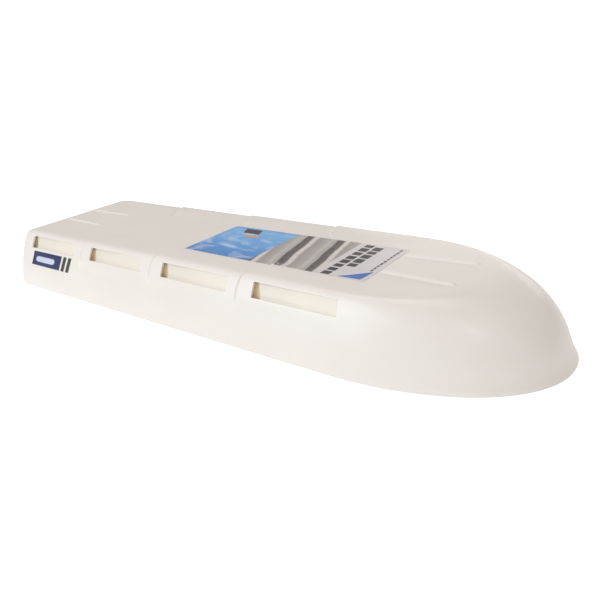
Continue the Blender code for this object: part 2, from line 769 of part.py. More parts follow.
def post_tips():
    """The posts' upper parts, which enter the grommets."""
    bm = bmesh.new()
    for _, side in SIDES:
        x, y = from_back(FRONT_POST[0]), side * FRONT_POST[1]
        add_rod(bm, (x, y, POST_TIP[0]), (x, y, POST_TIP[1]), *POST_TIP_R)
    return add_cutter("post_tips", bm)


def ear_gussets():
    """Ribs that tie the ears to the duct collar."""
    bm = bmesh.new()
    start = ear_span()[0] + EAR_THICK / 2
    end = from_back(DUCT_START - COLLAR_WALL / 2)
    for _, side in SIDES:
        y = side * REAR_FIX_Y
        low = (start, y - EAR_GUSSET_HALF, BASE_THICK / 2)
        high = (end, y + EAR_GUSSET_HALF, EAR_GUSSET_TOP)
        add_box(bm, low, high)
    return add_cutter("ear_gussets", bm)


def base_holes():
    """Open-topped slots in the ears, holes to the roof and the screen screws' pilot holes."""
    bm = bmesh.new()
    ear_start, ear_end = ear_span()
    for _, side in SIDES:
        y = side * REAR_FIX_Y
        low = (ear_start - CUT_PAST, y - EAR_SLOT_HALF, REAR_FIX_Z - EAR_SLOT_HALF)
        high = (ear_end + CUT_PAST / 2, y + EAR_SLOT_HALF, EAR_TOP + CUT_PAST)
        add_box(bm, low, high)
    for x, y in roof_hole_places():
        add_rod(bm, (x, y, -CUT_PAST), (x, y, BASE_THICK + CUT_PAST), ROOF_HOLE_R, segments=12)
    for x, y in screen_screw_places():
        low, high = COLLAR_TOP - SCREEN_HOLE_DEPTH, COLLAR_TOP + CUT_PAST
        add_rod(bm, (x, y, low), (x, y, high), SCREEN_HOLE_R, segments=12)
    return add_cutter("base_holes", bm)


def build_screen(material):
    """The insect screen: a coarse grille in place of its fine mesh."""
    z_low = COLLAR_TOP + GAP
    z_high = z_low + SCREEN_THICK
    margin = COLLAR_WALL - SCREEN_INSET / 2
    screen = flat_plate("insect_screen", [duct_outline(margin, DUCT_CORNER)], z_low, z_high, material)
    openings = bmesh.new()
    cells_x, cells_y = SCREEN_CELLS
    step_x, step_y = (DUCT_LENGTH - SCREEN_BAR) / cells_x, (DUCT_WIDTH - SCREEN_BAR) / cells_y
    for column in range(cells_x):
        for row in range(cells_y):
            x = from_back(DUCT_START) + SCREEN_BAR + column * step_x
            y = -DUCT_WIDTH / 2 + SCREEN_BAR + row * step_y
            corner = (x + step_x - SCREEN_BAR, y + step_y - SCREEN_BAR, z_high + CUT_PAST)
            add_box(openings, (x, y, z_low - CUT_PAST), corner)
    boolean(screen, "DIFFERENCE", add_cutter("screen_openings", openings))
    holes = bmesh.new()
    for x, y in screen_screw_places():
        add_rod(holes, (x, y, z_low - CUT_PAST), (x, y, z_high + CUT_PAST), SCREEN_HOLE_R, segments=12)
    boolean(screen, "DIFFERENCE", add_cutter("screen_holes", holes))


def build_retainer(material):
    """Four flat strips that clamp the screen's edges on the collar."""
    z_low = COLLAR_TOP + GAP + SCREEN_THICK + GAP
    z_high = z_low + RETAINER_THICK
    start = from_back(DUCT_START - COLLAR_WALL)
    end = from_back(DUCT_START + DUCT_LENGTH + COLLAR_WALL)
    outer = DUCT_WIDTH / 2 + COLLAR_WALL
    inner = outer - RETAINER_WIDTH
    spans = {"right": (start, end, -outer, -inner), "left": (start, end, inner, outer),
             "back": (start, start + RETAINER_WIDTH, -inner + GAP, inner - GAP),
             "front": (end - RETAINER_WIDTH, end, -inner + GAP, inner - GAP)}
    for label, (x_low, x_high, y_low, y_high) in spans.items():
        outline = rounded_rectangle(x_low, x_high, y_low, y_high, RETAINER_CORNER, steps=3)
        strip = flat_plate(f"screen_retainer_{label}", [outline], z_low, z_high, material)
        holes = bmesh.new()
        for x, y in screen_screw_places():
            if x_low < x < x_high and y_low < y < y_high:
                low, high = z_low - CUT_PAST, z_high + CUT_PAST
                add_rod(holes, (x, y, low), (x, y, high), SCREEN_HOLE_R, segments=12)
        boolean(strip, "DIFFERENCE", add_cutter(f"retainer_holes_{label}", holes))
    return z_high


def build_retainer_screws(z_seat, material):
    """Screws down through the strips and the screen into the collar."""
    for index, (x, y) in enumerate(screen_screw_places(), start=1):
        add_screw(f"retainer_screw_{index}", (x, y, z_seat + GAP), (0, 0, 1), SCREEN_SCREW, material)


# ---------------------------------------------------------------- printed labels

def build_roof_label(material):
    """The printed film on the roof."""
    z_low = ROOF_Z + GAP
    start, end = from_back(LABEL_X[0]), from_back(LABEL_X[1])
    outline = rounded_rectangle(start, end, *LABEL_Y, LABEL_CORNER, steps=3)
    flat_plate("roof_label", [outline], z_low, z_low + LABEL_THICK, material)


def wall_point(distance, z):
    """Outer skin point of the right-hand wall at a height, found by halving."""
    halvings = 30
    station = straight_station(distance)
    low, high = 0.0, math.radians(90)
    for _ in range(halvings):
        middle = (low + high) / 2
        if section_point(station, middle).z < z:
            low = middle
        else:
            high = middle
    return with_hood(section_point(station, low), distance)


def build_badge(material):
    """A slanted badge that follows the wall under the first window."""
    bm = bmesh.new()
    rows = []
    row_count, column_count = 6, 4
    for row in range(row_count + 1):
        share = row / row_count
        z = BADGE_Z[0] + (BADGE_Z[1] - BADGE_Z[0]) * share
        line = []
        for column in range(column_count + 1):
            x = BADGE_X[0] + (BADGE_X[1] - BADGE_X[0]) * column / column_count + BADGE_SLANT * share
            point = wall_point(x, z)
            line.append(bm.verts.new((from_back(x), point.y - BADGE_STAND_OFF, z)))
        rows.append(line)
    for low, high in zip(rows, rows[1:]):
        for index in range(column_count):
            bm.faces.new((low[index], low[index + 1], high[index + 1], high[index]))
    badge = add_object("side_badge", bm, material)
    solidify = badge.modifiers.new("film", "SOLIDIFY")
    solidify.thickness = LABEL_THICK
    solidify.offset = 0


# ---------------------------------------------------------------- the whole vent

clear_scene()
parts = make_collection("roof_vent")
cutters = make_collection("cutters")

cap_plastic = make_material("cap_plastic", (0.78, 0.75, 0.71), 0.38)
baffle_plastic = make_material("baffle_plastic", (0.80, 0.76, 0.66), 0.5)
base_plastic = make_material("base_plastic", (0.70, 0.68, 0.64), 0.55)
zinc_steel = make_material("zinc_steel", (0.62, 0.62, 0.60), 0.35, 1.0)
screen_metal = make_material("screen_metal", (0.45, 0.45, 0.44), 0.45, 1.0)
rubber = make_material("rubber", (0.03, 0.03, 0.03), 0.8)
label_film = make_material("label_film", (0.35, 0.42, 0.52), 0.3)
badge_film = make_material("badge_film", (0.02, 0.04, 0.20), 0.3)

build_cap(cap_plastic)
for side_label, side_sign in SIDES:
    build_baffle(f"louvre_baffle_{side_label}", side_sign, baffle_plastic)
build_baffle_screws(zinc_steel)
build_grommets(rubber)
build_rear_fixings(zinc_steel)
build_base(base_plastic)
build_screen(screen_metal)
screw_seat = build_retainer(base_plastic)
build_retainer_screws(screw_seat, zinc_steel)
build_roof_label(label_film)
build_badge(badge_film)
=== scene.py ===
"""Looks of the roof vent: a fine moulded cap, printed films, woven screen and real screws.

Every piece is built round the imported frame, in metres.  +X points to the nose, +Z up.
"""
import bisect
import math
import random

import bmesh
import bpy
from mathutils import Matrix, Vector, kdtree


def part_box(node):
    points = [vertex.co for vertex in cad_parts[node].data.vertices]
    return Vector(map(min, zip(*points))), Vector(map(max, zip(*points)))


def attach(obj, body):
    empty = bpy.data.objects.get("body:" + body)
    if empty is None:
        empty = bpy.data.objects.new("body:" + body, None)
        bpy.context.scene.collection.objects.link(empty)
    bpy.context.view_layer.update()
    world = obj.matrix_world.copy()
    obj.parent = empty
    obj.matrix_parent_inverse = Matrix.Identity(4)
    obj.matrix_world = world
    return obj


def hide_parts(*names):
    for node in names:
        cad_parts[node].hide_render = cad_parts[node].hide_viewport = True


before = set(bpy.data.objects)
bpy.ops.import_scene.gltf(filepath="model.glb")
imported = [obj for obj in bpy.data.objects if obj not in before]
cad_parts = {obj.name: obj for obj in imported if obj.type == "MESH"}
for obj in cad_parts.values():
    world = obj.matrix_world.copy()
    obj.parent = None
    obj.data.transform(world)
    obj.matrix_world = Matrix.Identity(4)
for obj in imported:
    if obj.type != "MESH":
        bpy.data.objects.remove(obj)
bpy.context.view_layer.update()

MM = 0.001
SIDES = (("right", -1), ("left", 1))

# Cap surface, the same sizes as the solid model's
LENGTH = 788 * MM
HALF_WIDTH = 120 * MM
ROOF_Z = 80 * MM
FOOT_Z = 1 * MM
WALL = 2.5 * MM
NOSE_START = 577.5 * MM
LIP_FLARE = 5 * MM
LIP_HEIGHT = 15 * MM
BACK_LEAN = 0.05
BACK_ROUND = 5 * MM
SIDE_ROOF_SHARE = 0.763
TIP_ROOF_SHARE = 0.567
SIDE_POWER = 1.3
TIP_PLAN_POWER = 2.46
TIP_RISE_POWER = 1.69
NOSE_PLAN_POWER = 2.1
NOSE_BLEND_POWER = 2.3
SIDE_UPRIGHT = 4.6 * MM
NOSE_REACH = LENGTH - NOSE_START - LIP_FLARE
BACK_X = -LENGTH / 2

# Windows and hoods
WINDOWS = 4
PITCH = 149.6 * MM
WINDOW_START = 32 * MM
WINDOW_LENGTH = 110.6 * MM
WINDOW_LOW = 59.2 * MM
WINDOW_HIGH = 74.7 * MM
HOOD_STEP = 2.0 * MM           # how far a hood stands proud at its crease
HOOD_LEAD = 23 * MM            # from a crease to its window
HOOD_BOW = 20 * MM             # how far a crease bows forwards on the roof
HOOD_CREASE = 1.0 * MM
HOOD_GROOVE = 2.0 * MM
HOOD_GROOVE_REACH = 2.8 * MM
HOOD_START = (5 * MM, 30 * MM)
HOOD_REACH = 19 * MM
HOOD_ROOF_REACH = 60 * MM
HOOD_END = (582 * MM, 606 * MM)
HOOD_ROOF_START = (93 * MM, 100 * MM)
HOOD_AXIS = (60 * MM, 31 * MM)
HOOD_INSIDE = 30 * MM          # the roof nearer its middle line than this stays as it is
# Degrees round the hood axis, from level, over which a hood grows, reaches its full rise and ends
GROW_ANGLES, FULL_ANGLES, END_ANGLES = (14, 32), (52, 78), (84, 106)
SHOULDER_SHARE = 0.75          # of a hood's rise, on the shoulder
ROOF_START_ANGLES = (60, 80)   # above these the first hood starts further forward
# The same for a crease's bow, and how fast and how far it grows
BOW_ANGLES, BOW_WIDEN_ANGLES, BOW_END_ANGLES = (38, 94), (50, 85), (106, 130)
BOW_POWER, BOW_MOST = 1.6, 1.2


def from_back(distance):
    """World X of a point at a distance from the square back end."""
    return BACK_X + distance


# ---------------------------------------------------------------- materials

class Nodes:
    """A material's node tree, with short calls for the nodes used here."""

    def __init__(self, name):
        self.material = bpy.data.materials.new(name)
        self.material.use_nodes = True
        self.tree = self.material.node_tree
        self.shader = self.tree.nodes["Principled BSDF"]

    def add(self, kind, **values):
        node = self.tree.nodes.new(kind)
        for key, value in values.items():
            setattr(node, key, value)
        return node

    def feed(self, sockets, values):
        """Link or set each input socket."""
        for socket, value in zip(sockets, values):
            if isinstance(value, bpy.types.NodeSocket):
                self.tree.links.new(value, socket)
            elif isinstance(value, tuple):
                socket.default_value = (*value, 1.0)
            else:
                socket.default_value = value

    def place(self, scale=(1, 1, 1), turn=0.0):
        """Object coordinates, scaled and turned about Z."""
        coordinates = self.add("ShaderNodeTexCoord")
        mapping = self.add("ShaderNodeMapping")
        mapping.inputs["Scale"].default_value = scale
        mapping.inputs["Rotation"].default_value = (0, 0, turn)
        self.feed([mapping.inputs["Vector"]], [coordinates.outputs["Object"]])
        return mapping.outputs["Vector"]

    def noise(self, scale, detail=4.0, roughness=0.55, where=None, distortion=0.0):
        node = self.add("ShaderNodeTexNoise")
        names = ("Vector", "Scale", "Detail", "Roughness", "Distortion")
        values = (where or self.place(), scale, detail, roughness, distortion)
        self.feed([node.inputs[name] for name in names], values)
        return node.outputs["Fac"]

    def ramp(self, factor, stops):
        """Colours, or grey values, at positions."""
        node = self.add("ShaderNodeValToRGB")
        elements = node.color_ramp.elements
        while len(elements) < len(stops):
            elements.new(0.5)
        for element, (position, value) in zip(elements, stops):
            element.position = position
            colour = value if isinstance(value, tuple) else (value, value, value)
            element.color = (*colour, 1.0)
        self.feed([node.inputs["Fac"]], [factor])
        return node.outputs["Color"]

    def math(self, operation, *values):
        node = self.add("ShaderNodeMath", operation=operation)
        self.feed(node.inputs, values)
        return node.outputs[0]

    def along(self, axis, scale, shift, where=None):
        """A coordinate times a scale, plus a shift."""
        split = self.add("ShaderNodeSeparateXYZ")
        self.feed(split.inputs, [where or self.place()])
        return self.math("MULTIPLY_ADD", split.outputs[axis], scale, shift)

    def mix(self, factor, first, second):
        node = self.add("ShaderNodeMix", data_type="RGBA")
        self.feed((node.inputs[0], node.inputs[6], node.inputs[7]), (factor, first, second))
        return node.outputs[2]

    def edge_wear(self, low=0.5, high=0.62):
        """1 on convex edges, 0 elsewhere."""
        geometry = self.add("ShaderNodeNewGeometry")
        return self.ramp(geometry.outputs["Pointiness"], ((low, 0.0), (high, 1.0)))

    def bump(self, height, distance, strength, below=None):
        node = self.add("ShaderNodeBump")
        names = ("Height", "Distance", "Strength")
        self.feed([node.inputs[name] for name in names], (height, distance, strength))
        if below:
            self.feed([node.inputs["Normal"]], [below])
        return node.outputs["Normal"]

    def finish(self, colour, roughness, normal=None):
        inputs = self.shader.inputs
        self.feed([inputs["Base Color"], inputs["Roughness"]], [colour, roughness])
        if normal:
            self.feed([inputs["Normal"]], [normal])
        return self.material


def moulded_plastic(name, light, dark, worn, roughness, grain):
    """Moulded plastic: slow colour drift, faint flow marks, fine grain and paler edges."""
    nodes = Nodes(name)
    drift = nodes.noise(9.0, 3.0)
    flow = nodes.noise(14.0, 5.0, 0.6, nodes.place(scale=(0.25, 1.6, 1.6)), 0.4)
    specks = nodes.noise(260.0, 2.0)
    colour = nodes.ramp(drift, ((0.3, dark), (0.7, light)))
    colour = nodes.mix(nodes.ramp(flow, ((0.35, 0.0), (0.75, 0.22))), colour, worn)
    colour = nodes.mix(nodes.ramp(specks, ((0.3, 0.0), (0.8, 0.04))), colour, dark)
    colour = nodes.mix(nodes.math("MULTIPLY", nodes.edge_wear(), 0.35), colour, worn)
    rough = nodes.ramp(nodes.noise(60.0, 4.0), ((0.3, roughness[0]), (0.75, roughness[1])))
    fine = nodes.bump(nodes.noise(240.0, 1.0), grain, 0.1)
    wave = nodes.bump(nodes.noise(11.0, 2.0), 0.25 * MM, 0.25, fine)
    return nodes.finish(colour, rough, wave)


def brushed_metal(name, light, dark, roughness):
    """Plated steel: fine turning marks, a mottled plating and brighter edges."""
    nodes = Nodes(name)
    marks = nodes.noise(260.0, 3.0, 0.6, nodes.place(scale=(1, 1, 14)))
    mottle = nodes.noise(420.0, 4.0)
    colour = nodes.mix(nodes.ramp(mottle, ((0.35, 0.0), (0.7, 0.6))), light, dark)
    colour = nodes.mix(nodes.math("MULTIPLY", nodes.edge_wear(), 0.4), colour, light)
    rough = nodes.ramp(marks, ((0.3, roughness[0]), (0.7, roughness[1])))
    nodes.shader.inputs["Metallic"].default_value = 1.0
    return nodes.finish(colour, rough, nodes.bump(marks, 0.03 * MM, 0.5))


def rubber_material():
    nodes = Nodes("rubber_fine")
    bloom = nodes.noise(120.0, 5.0)
    colour = nodes.ramp(bloom, ((0.35, (0.020, 0.020, 0.021)), (0.8, (0.055, 0.054, 0.052))))
    roughness = nodes.ramp(bloom, ((0.3, 0.62), (0.8, 0.85)))
    return nodes.finish(colour, roughness, nodes.bump(nodes.noise(1800.0, 3.0), 0.05 * MM, 0.6))


cap_material = moulded_plastic(
    "cap_plastic_fine", (0.82, 0.765, 0.715), (0.79, 0.73, 0.675), (0.86, 0.83, 0.80),
    (0.285, 0.335), 0.02 * MM)
baffle_material = moulded_plastic(
    "baffle_plastic_fine", (0.84, 0.77, 0.68), (0.80, 0.73, 0.63), (0.88, 0.83, 0.76),
    (0.42, 0.55), 0.05 * MM)
# The guides' tan colour is painted shade: it stands in for the warm shade, lit through the cream plastic,
# deep in each slot.
guide_painted_shade_material = moulded_plastic(
    "guide_plastic_painted_shade", (0.88, 0.69, 0.44), (0.84, 0.65, 0.40), (0.90, 0.77, 0.57),
    (0.45, 0.6), 0.05 * MM)
base_material = moulded_plastic(
    "base_plastic_fine", (0.66, 0.63, 0.58), (0.58, 0.55, 0.50), (0.74, 0.72, 0.68),
    (0.45, 0.6), 0.08 * MM)
zinc_material = brushed_metal("zinc_plated", (0.70, 0.70, 0.68), (0.50, 0.50, 0.47), (0.22, 0.42))
wire_material = brushed_metal("screen_wire", (0.46, 0.46, 0.45), (0.28, 0.28, 0.28), (0.35, 0.55))
grommet_material = rubber_material()


# ---------------------------------------------------------------- mesh helpers

def mesh_object(name, bm):
    """Turn a bmesh into an object of the scene."""
    mesh = bpy.data.meshes.new(name)
    bmesh.ops.recalc_face_normals(bm, faces=bm.faces)
    bm.to_mesh(mesh)
    bm.free()
    piece = bpy.data.objects.new(name, mesh)
    bpy.context.scene.collection.objects.link(piece)
    return piece


def smooth_shade(piece, angle):
    """Smooth shading, with edges above an angle left sharp."""
    piece.data.shade_smooth()
    piece.data.set_sharp_from_angle(angle=math.radians(angle))


def finish_mesh(name, bm, material, angle=35, body="cover"):
    """Make a piece of a body from a bmesh."""
    piece = mesh_object(name, bm)
    piece.data.materials.append(material)
    smooth_shade(piece, angle)
    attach(piece, body)
    return piece


def apply_modifiers(piece):
    """Bake the modifiers into the piece's own mesh."""
    depsgraph = bpy.context.evaluated_depsgraph_get()
    mesh = bpy.data.meshes.new_from_object(piece.evaluated_get(depsgraph))
    piece.modifiers.clear()
    piece.data = mesh


def add_rod(bm, start, end, radius):
    start, end = Vector(start), Vector(end)
    axis = end - start
    turn = Vector((0, 0, 1)).rotation_difference(axis).to_matrix().to_4x4()
    bmesh.ops.create_cone(bm, cap_ends=True, segments=48, radius1=radius, radius2=radius,
                          depth=axis.length, matrix=Matrix.Translation((start + end) / 2) @ turn)


def add_box(bm, low, high):
    size = [high[axis] - low[axis] for axis in range(3)]
    middle = [(high[axis] + low[axis]) / 2 for axis in range(3)]
    bmesh.ops.create_cube(bm, size=1.0, matrix=Matrix.Translation(middle) @ Matrix.Diagonal((*size, 1.0)))


def flat_patch(bm, outline, z_low, z_high):
    """A thin closed sheet with the given outline."""
    lower = [bm.verts.new((from_back(x), y, z_low)) for x, y in outline]
    upper = [bm.verts.new((from_back(x), y, z_high)) for x, y in outline]
    bm.faces.new(lower[::-1])
    bm.faces.new(upper)
    for index in range(len(outline)):
        other = (index + 1) % len(outline)
        bm.faces.new((lower[index], lower[other], upper[other], upper[index]))


def closed_sheet(bm, depths, across, up, place):
    """A thin closed body between two depths, through the places of a grid's columns and rows."""
    sheets = [[[bm.verts.new(place(column, row, depth)) for row in range(up + 1)]
               for column in range(across + 1)] for depth in depths]
    for sheet in sheets:
        for near, far in zip(sheet, sheet[1:]):
            for row in range(up):
                bm.faces.new((near[row], far[row], far[row + 1], near[row + 1]))
    inner, outer = sheets
    border = [(0, row) for row in range(up)] + [(column, up) for column in range(across)]
    border += [(across, row) for row in range(up, 0, -1)] + [(column, 0) for column in range(across, 0, -1)]
    for here, there in zip(border, border[1:] + border[:1]):
        bm.faces.new((inner[here[0]][here[1]], inner[there[0]][there[1]],
                      outer[there[0]][there[1]], outer[here[0]][here[1]]))


def boolean(piece, operation, bm):
    """Join or cut a piece with the solids in a bmesh."""
    tool = mesh_object(operation.lower(), bm)
    modifier = piece.modifiers.new(operation.lower(), "BOOLEAN")
    modifier.operation = operation
    modifier.object = tool
    modifier.solver = "EXACT"
    apply_modifiers(piece)
    bpy.data.objects.remove(tool)


def bevel(piece, width, angle=50):
    modifier = piece.modifiers.new("edges", "BEVEL")
    modifier.width = width
    modifier.segments = 2
    modifier.limit_method = "ANGLE"
    modifier.angle_limit = math.radians(angle)



def smooth_step(value, low, high):
    share = min(max((value - low) / (high - low), 0.0), 1.0)
    return share * share * (3 - 2 * share)


def mix(first, second, weight):
    return first + (second - first) * weight


def straight_station(distance):
    return {"middle": distance, "reach": (distance, HALF_WIDTH), "nose": 0.0}


def nose_station(angle):
    """A radial section of the nose, from 0 at the side to 90 degrees at the tip."""
    sine, cosine = math.sin(angle), max(math.cos(angle), 0.0)
    reach_x = NOSE_START + NOSE_REACH * sine ** (2 / NOSE_PLAN_POWER)
    reach_y = HALF_WIDTH * cosine ** (2 / NOSE_PLAN_POWER)
    return {"middle": NOSE_START, "reach": (reach_x, reach_y), "nose": sine, "outward": (sine, cosine)}


def roof_share(station):
    return mix(SIDE_ROOF_SHARE, TIP_ROOF_SHARE, station["nose"] ** NOSE_BLEND_POWER)


def roof_point(station, share, z=ROOF_Z):
    reach_x, reach_y = station["reach"]
    x = station["middle"] + share * (reach_x - station["middle"])
    y = -share * reach_y
    if station["nose"] > 0:
        low = max(1 - (z - FOOT_Z) / LIP_HEIGHT, 0.0)
        flare = LIP_FLARE * station["nose"] * low * low
        x += flare * station["outward"][0]
        y -= flare * station["outward"][1]
    return Vector((x, y, z))


def section_point(station, turn):
    """Point of the right-hand half skin at a section angle: 0 is the foot, 90 the roof's edge."""
    weight = station["nose"] ** NOSE_BLEND_POWER
    share0 = roof_share(station)
    plan_power = mix(SIDE_POWER, TIP_PLAN_POWER, weight)
    rise_power = mix(SIDE_POWER, TIP_RISE_POWER, weight)
    foot = FOOT_Z + mix(SIDE_UPRIGHT, 0.0, weight)
    cosine, sine = max(math.cos(turn), 0.0), math.sin(turn)
    share = share0 + (1 - share0) * cosine ** (2 / plan_power)
    z = foot + (ROOF_Z - foot) * sine ** (2 / rise_power)
    return roof_point(station, share, z)


def hood_angle(point):
    return math.degrees(math.atan2(point.z - HOOD_AXIS[1], -point.y - HOOD_AXIS[0]))


def hood_mask(point):
    """Share of the hood's rise: none low on the wall, most on the shoulder, all on the roof's side."""
    angle = hood_angle(point)
    share = mix(SHOULDER_SHARE, 1.0, smooth_step(angle, *FULL_ANGLES))
    return smooth_step(angle, *GROW_ANGLES) * share * (1 - smooth_step(angle, *END_ANGLES))


def hood_rise(distance, angle):
    """How far a hood stands proud: it steps up at its crease and sinks away towards the nose."""
    first = WINDOW_START - HOOD_LEAD
    past = (distance - first) % PITCH
    if distance < first + PITCH / 2:
        rise = HOOD_STEP * (1 - max(distance - first, 0) / PITCH) * smooth_step(distance, *HOOD_START)
    else:
        rise = HOOD_STEP * (1 - past / PITCH) * smooth_step(past, 0, HOOD_CREASE)
        away = min(past, PITCH - past) / HOOD_GROOVE_REACH
        if away < 1 and distance < HOOD_END[0]:
            rise -= HOOD_GROOVE * (1 - away * away) ** 2
    if distance < HOOD_ROOF_START[1]:
        rise *= mix(1.0, smooth_step(distance, *HOOD_ROOF_START), smooth_step(angle, *ROOF_START_ANGLES))
    return rise * (1 - smooth_step(distance, *HOOD_END))


def crease_shift(point, distance):
    """Creases bow forwards as they climb on to the roof."""
    first = WINDOW_START - HOOD_LEAD
    nearest = round((distance - first) / PITCH)
    if not 1 <= nearest < WINDOWS:
        return 0.0
    angle = hood_angle(point)
    reach = mix(HOOD_REACH, HOOD_ROOF_REACH, smooth_step(angle, *BOW_WIDEN_ANGLES))
    away = abs(distance - first - nearest * PITCH) / reach
    if away >= 1:
        return 0.0
    share = (angle - BOW_ANGLES[0]) / (BOW_ANGLES[1] - BOW_ANGLES[0])
    climb = min(max(share, 0.0), BOW_MOST) ** BOW_POWER
    fade = 1 - smooth_step(angle, *BOW_END_ANGLES)
    return HOOD_BOW * climb * fade * (1 - away * away) ** 2


def hood_move(point):
    """How a hood moves a skin point, away from the line inside the shoulder."""
    if -point.y < HOOD_INSIDE:
        return Vector((0, 0, 0))
    out = Vector((0, point.y + HOOD_AXIS[0], point.z - HOOD_AXIS[1])).normalized()
    return out * hood_rise(point.x, hood_angle(point)) * hood_mask(point)


def roof_lift(x, y):
    """How far a hood lifts the flat roof at a point."""
    point = Vector((x, -abs(y), ROOF_Z))
    for _ in range(3):
        point.x = x - crease_shift(point, point.x)
    return hood_move(point).z


SOFT_REACH = 7 * MM            # the shoulder is rounded over this far either side
SECTION_SAMPLES = 110
MIDDLE_SAMPLES = 24
SOFT_STEPS = 6


def raw_section(station):
    """Half section from the foot to the middle line, before its shoulder is softened."""
    first = section_point(station, 0.0)
    points = [Vector((first.x, first.y, FOOT_Z))]
    for step in range(1, SECTION_SAMPLES + 1):
        points.append(section_point(station, math.radians(90) * step / SECTION_SAMPLES))
    edge = roof_share(station)
    for step in range(1, MIDDLE_SAMPLES + 1):
        points.append(roof_point(station, edge * (1 - step / MIDDLE_SAMPLES)))
    return points


class Section:
    """A half section that can be read at any length along it, with a rounded shoulder."""

    def __init__(self, station):
        self.points = raw_section(station)
        self.lengths = [0.0]
        for here, there in zip(self.points, self.points[1:]):
            self.lengths.append(self.lengths[-1] + (there - here).length)
        self.total = self.lengths[-1]
        self.shoulder = self.lengths[SECTION_SAMPLES]

    def sharp(self, length):
        length = min(max(length, 0.0), self.total)
        index = min(max(bisect.bisect_right(self.lengths, length) - 1, 0), len(self.points) - 2)
        span = self.lengths[index + 1] - self.lengths[index]
        share = (length - self.lengths[index]) / span if span > 0 else 0.0
        return self.points[index].lerp(self.points[index + 1], share)

    def at(self, length):
        """Mean of the curve round a length, weighted to its middle."""
        reach = min(SOFT_REACH, length, self.total - length)
        if reach <= 0:
            return self.sharp(length)
        total, weight_sum = Vector((0, 0, 0)), 0.0
        for step in range(-SOFT_STEPS, SOFT_STEPS + 1):
            weight = 1 - abs(step) / (SOFT_STEPS + 1)
            total += self.sharp(length + reach * step / SOFT_STEPS) * weight
            weight_sum += weight
        return total / weight_sum

    def length_at_height(self, z):
        low, high = 0.0, self.shoulder + SOFT_REACH
        for _ in range(22):
            middle = (low + high) / 2
            if self.at(middle).z < z:
                low = middle
            else:
                high = middle
        return low


def wall_point(distance, z):
    section = Section(straight_station(distance))
    point = section.at(section.length_at_height(z))
    return point + hood_move(point)


LOW_ROWS, WINDOW_ROWS, SHOULDER_ROWS, ROOF_ROWS = 24, 9, 22, 9
NOSE_COLUMNS = 96
COLUMN_STEP = 3.2 * MM
FINE_STEP = 0.4 * MM           # across the creases
CREASE_REACH = 3 * MM
NOSE_WINDOW_COLUMNS = 5        # those of the last window's end, past the nose's start
NOSE_WINDOW_SHARE = 0.885      # how far out the window lies, as a share of the nose's reach
BACK_COLUMNS = 8
BACK_RINGS = (0.985, 0.8, 0.55, 0.3)


def straight_distances():
    """Column distances, with the window ends and the creases on columns of their own."""
    keys = {BACK_ROUND, NOSE_START}
    for index in range(WINDOWS):
        start = WINDOW_START + index * PITCH
        keys.update(end for end in (start, start + WINDOW_LENGTH) if end < NOSE_START)
        if index:
            crease = start - HOOD_LEAD
            keys.update((crease - CREASE_REACH, crease, crease + HOOD_CREASE, crease + CREASE_REACH))
    keys = sorted(keys)
    distances = []
    for low, high in zip(keys, keys[1:]):
        longest = FINE_STEP if high - low < 1.03 * CREASE_REACH else COLUMN_STEP
        steps = max(1, math.ceil((high - low) / longest))
        distances += [low + (high - low) * step / steps for step in range(steps)]
    return distances


def skin_column(station, distance):
    """Points of one section, with the window's two edges on rows of their own."""
    section = Section(station)
    knots = (0.0, section.length_at_height(WINDOW_LOW), section.length_at_height(WINDOW_HIGH),
             section.shoulder + 1.5 * SOFT_REACH, section.total)
    lengths = [0.0]
    for start, end, steps in zip(knots, knots[1:], (LOW_ROWS, WINDOW_ROWS, SHOULDER_ROWS, ROOF_ROWS)):
        lengths += [start + (end - start) * (step + 1) / steps for step in range(steps)]
    points = [section.at(length) for length in lengths[:-1]]
    moves = [hood_move(point) for point in points]
    if station["nose"] == 0:
        for point in points:
            point.x += crease_shift(point, distance)
    return points, moves


def back_columns(column):
    """Columns that round the back edge: the section shrinks as it turns to the back wall."""
    columns = []
    for step in range(BACK_COLUMNS, 0, -1):
        angle = math.radians(90) * step / BACK_COLUMNS
        inset = BACK_ROUND * (1 - math.cos(angle))
        back = BACK_ROUND * math.sin(angle)
        narrow = 1 - inset / HALF_WIDTH
        lower = 1 - inset / (ROOF_Z - FOOT_Z)
        columns.append([Vector((BACK_ROUND - back, point.y * narrow, FOOT_Z + (point.z - FOOT_Z) * lower))
                        for point in column])
    return columns


def nose_angles():
    """Angles of the nose's columns; one of them is the front end of the last window."""
    past = WINDOW_START + (WINDOWS - 1) * PITCH + WINDOW_LENGTH - NOSE_START
    window_end = math.asin((past / (NOSE_WINDOW_SHARE * NOSE_REACH)) ** (NOSE_PLAN_POWER / 2))
    angles = [window_end * (step / NOSE_WINDOW_COLUMNS) for step in range(NOSE_WINDOW_COLUMNS)]
    for step in range(NOSE_COLUMNS + 1):
        angles.append(window_end + (math.radians(90) - window_end) * step / NOSE_COLUMNS)
    return angles


def close_back(bm, edge, top):
    """Back wall: rings that shrink towards the foot of its middle line, then one last face."""
    foot = Vector((edge[0].co.x, 0, FOOT_Z))
    previous, previous_top = edge, top
    for share in BACK_RINGS:
        ring = []
        for vert in edge + [top]:
            z = FOOT_Z + (vert.co.z - FOOT_Z) * share
            ring.append(bm.verts.new((BACK_LEAN * (z - FOOT_Z), vert.co.y * share, z)))
        ring_top = ring.pop()
        for low in range(len(edge) - 1):
            bm.faces.new((previous[low], previous[low + 1], ring[low + 1], ring[low]))
        bm.faces.new((previous[-1], previous_top, ring_top, ring[-1]))
        previous, previous_top = ring, ring_top
    bm.faces.new(previous + [previous_top, bm.verts.new(foot)])


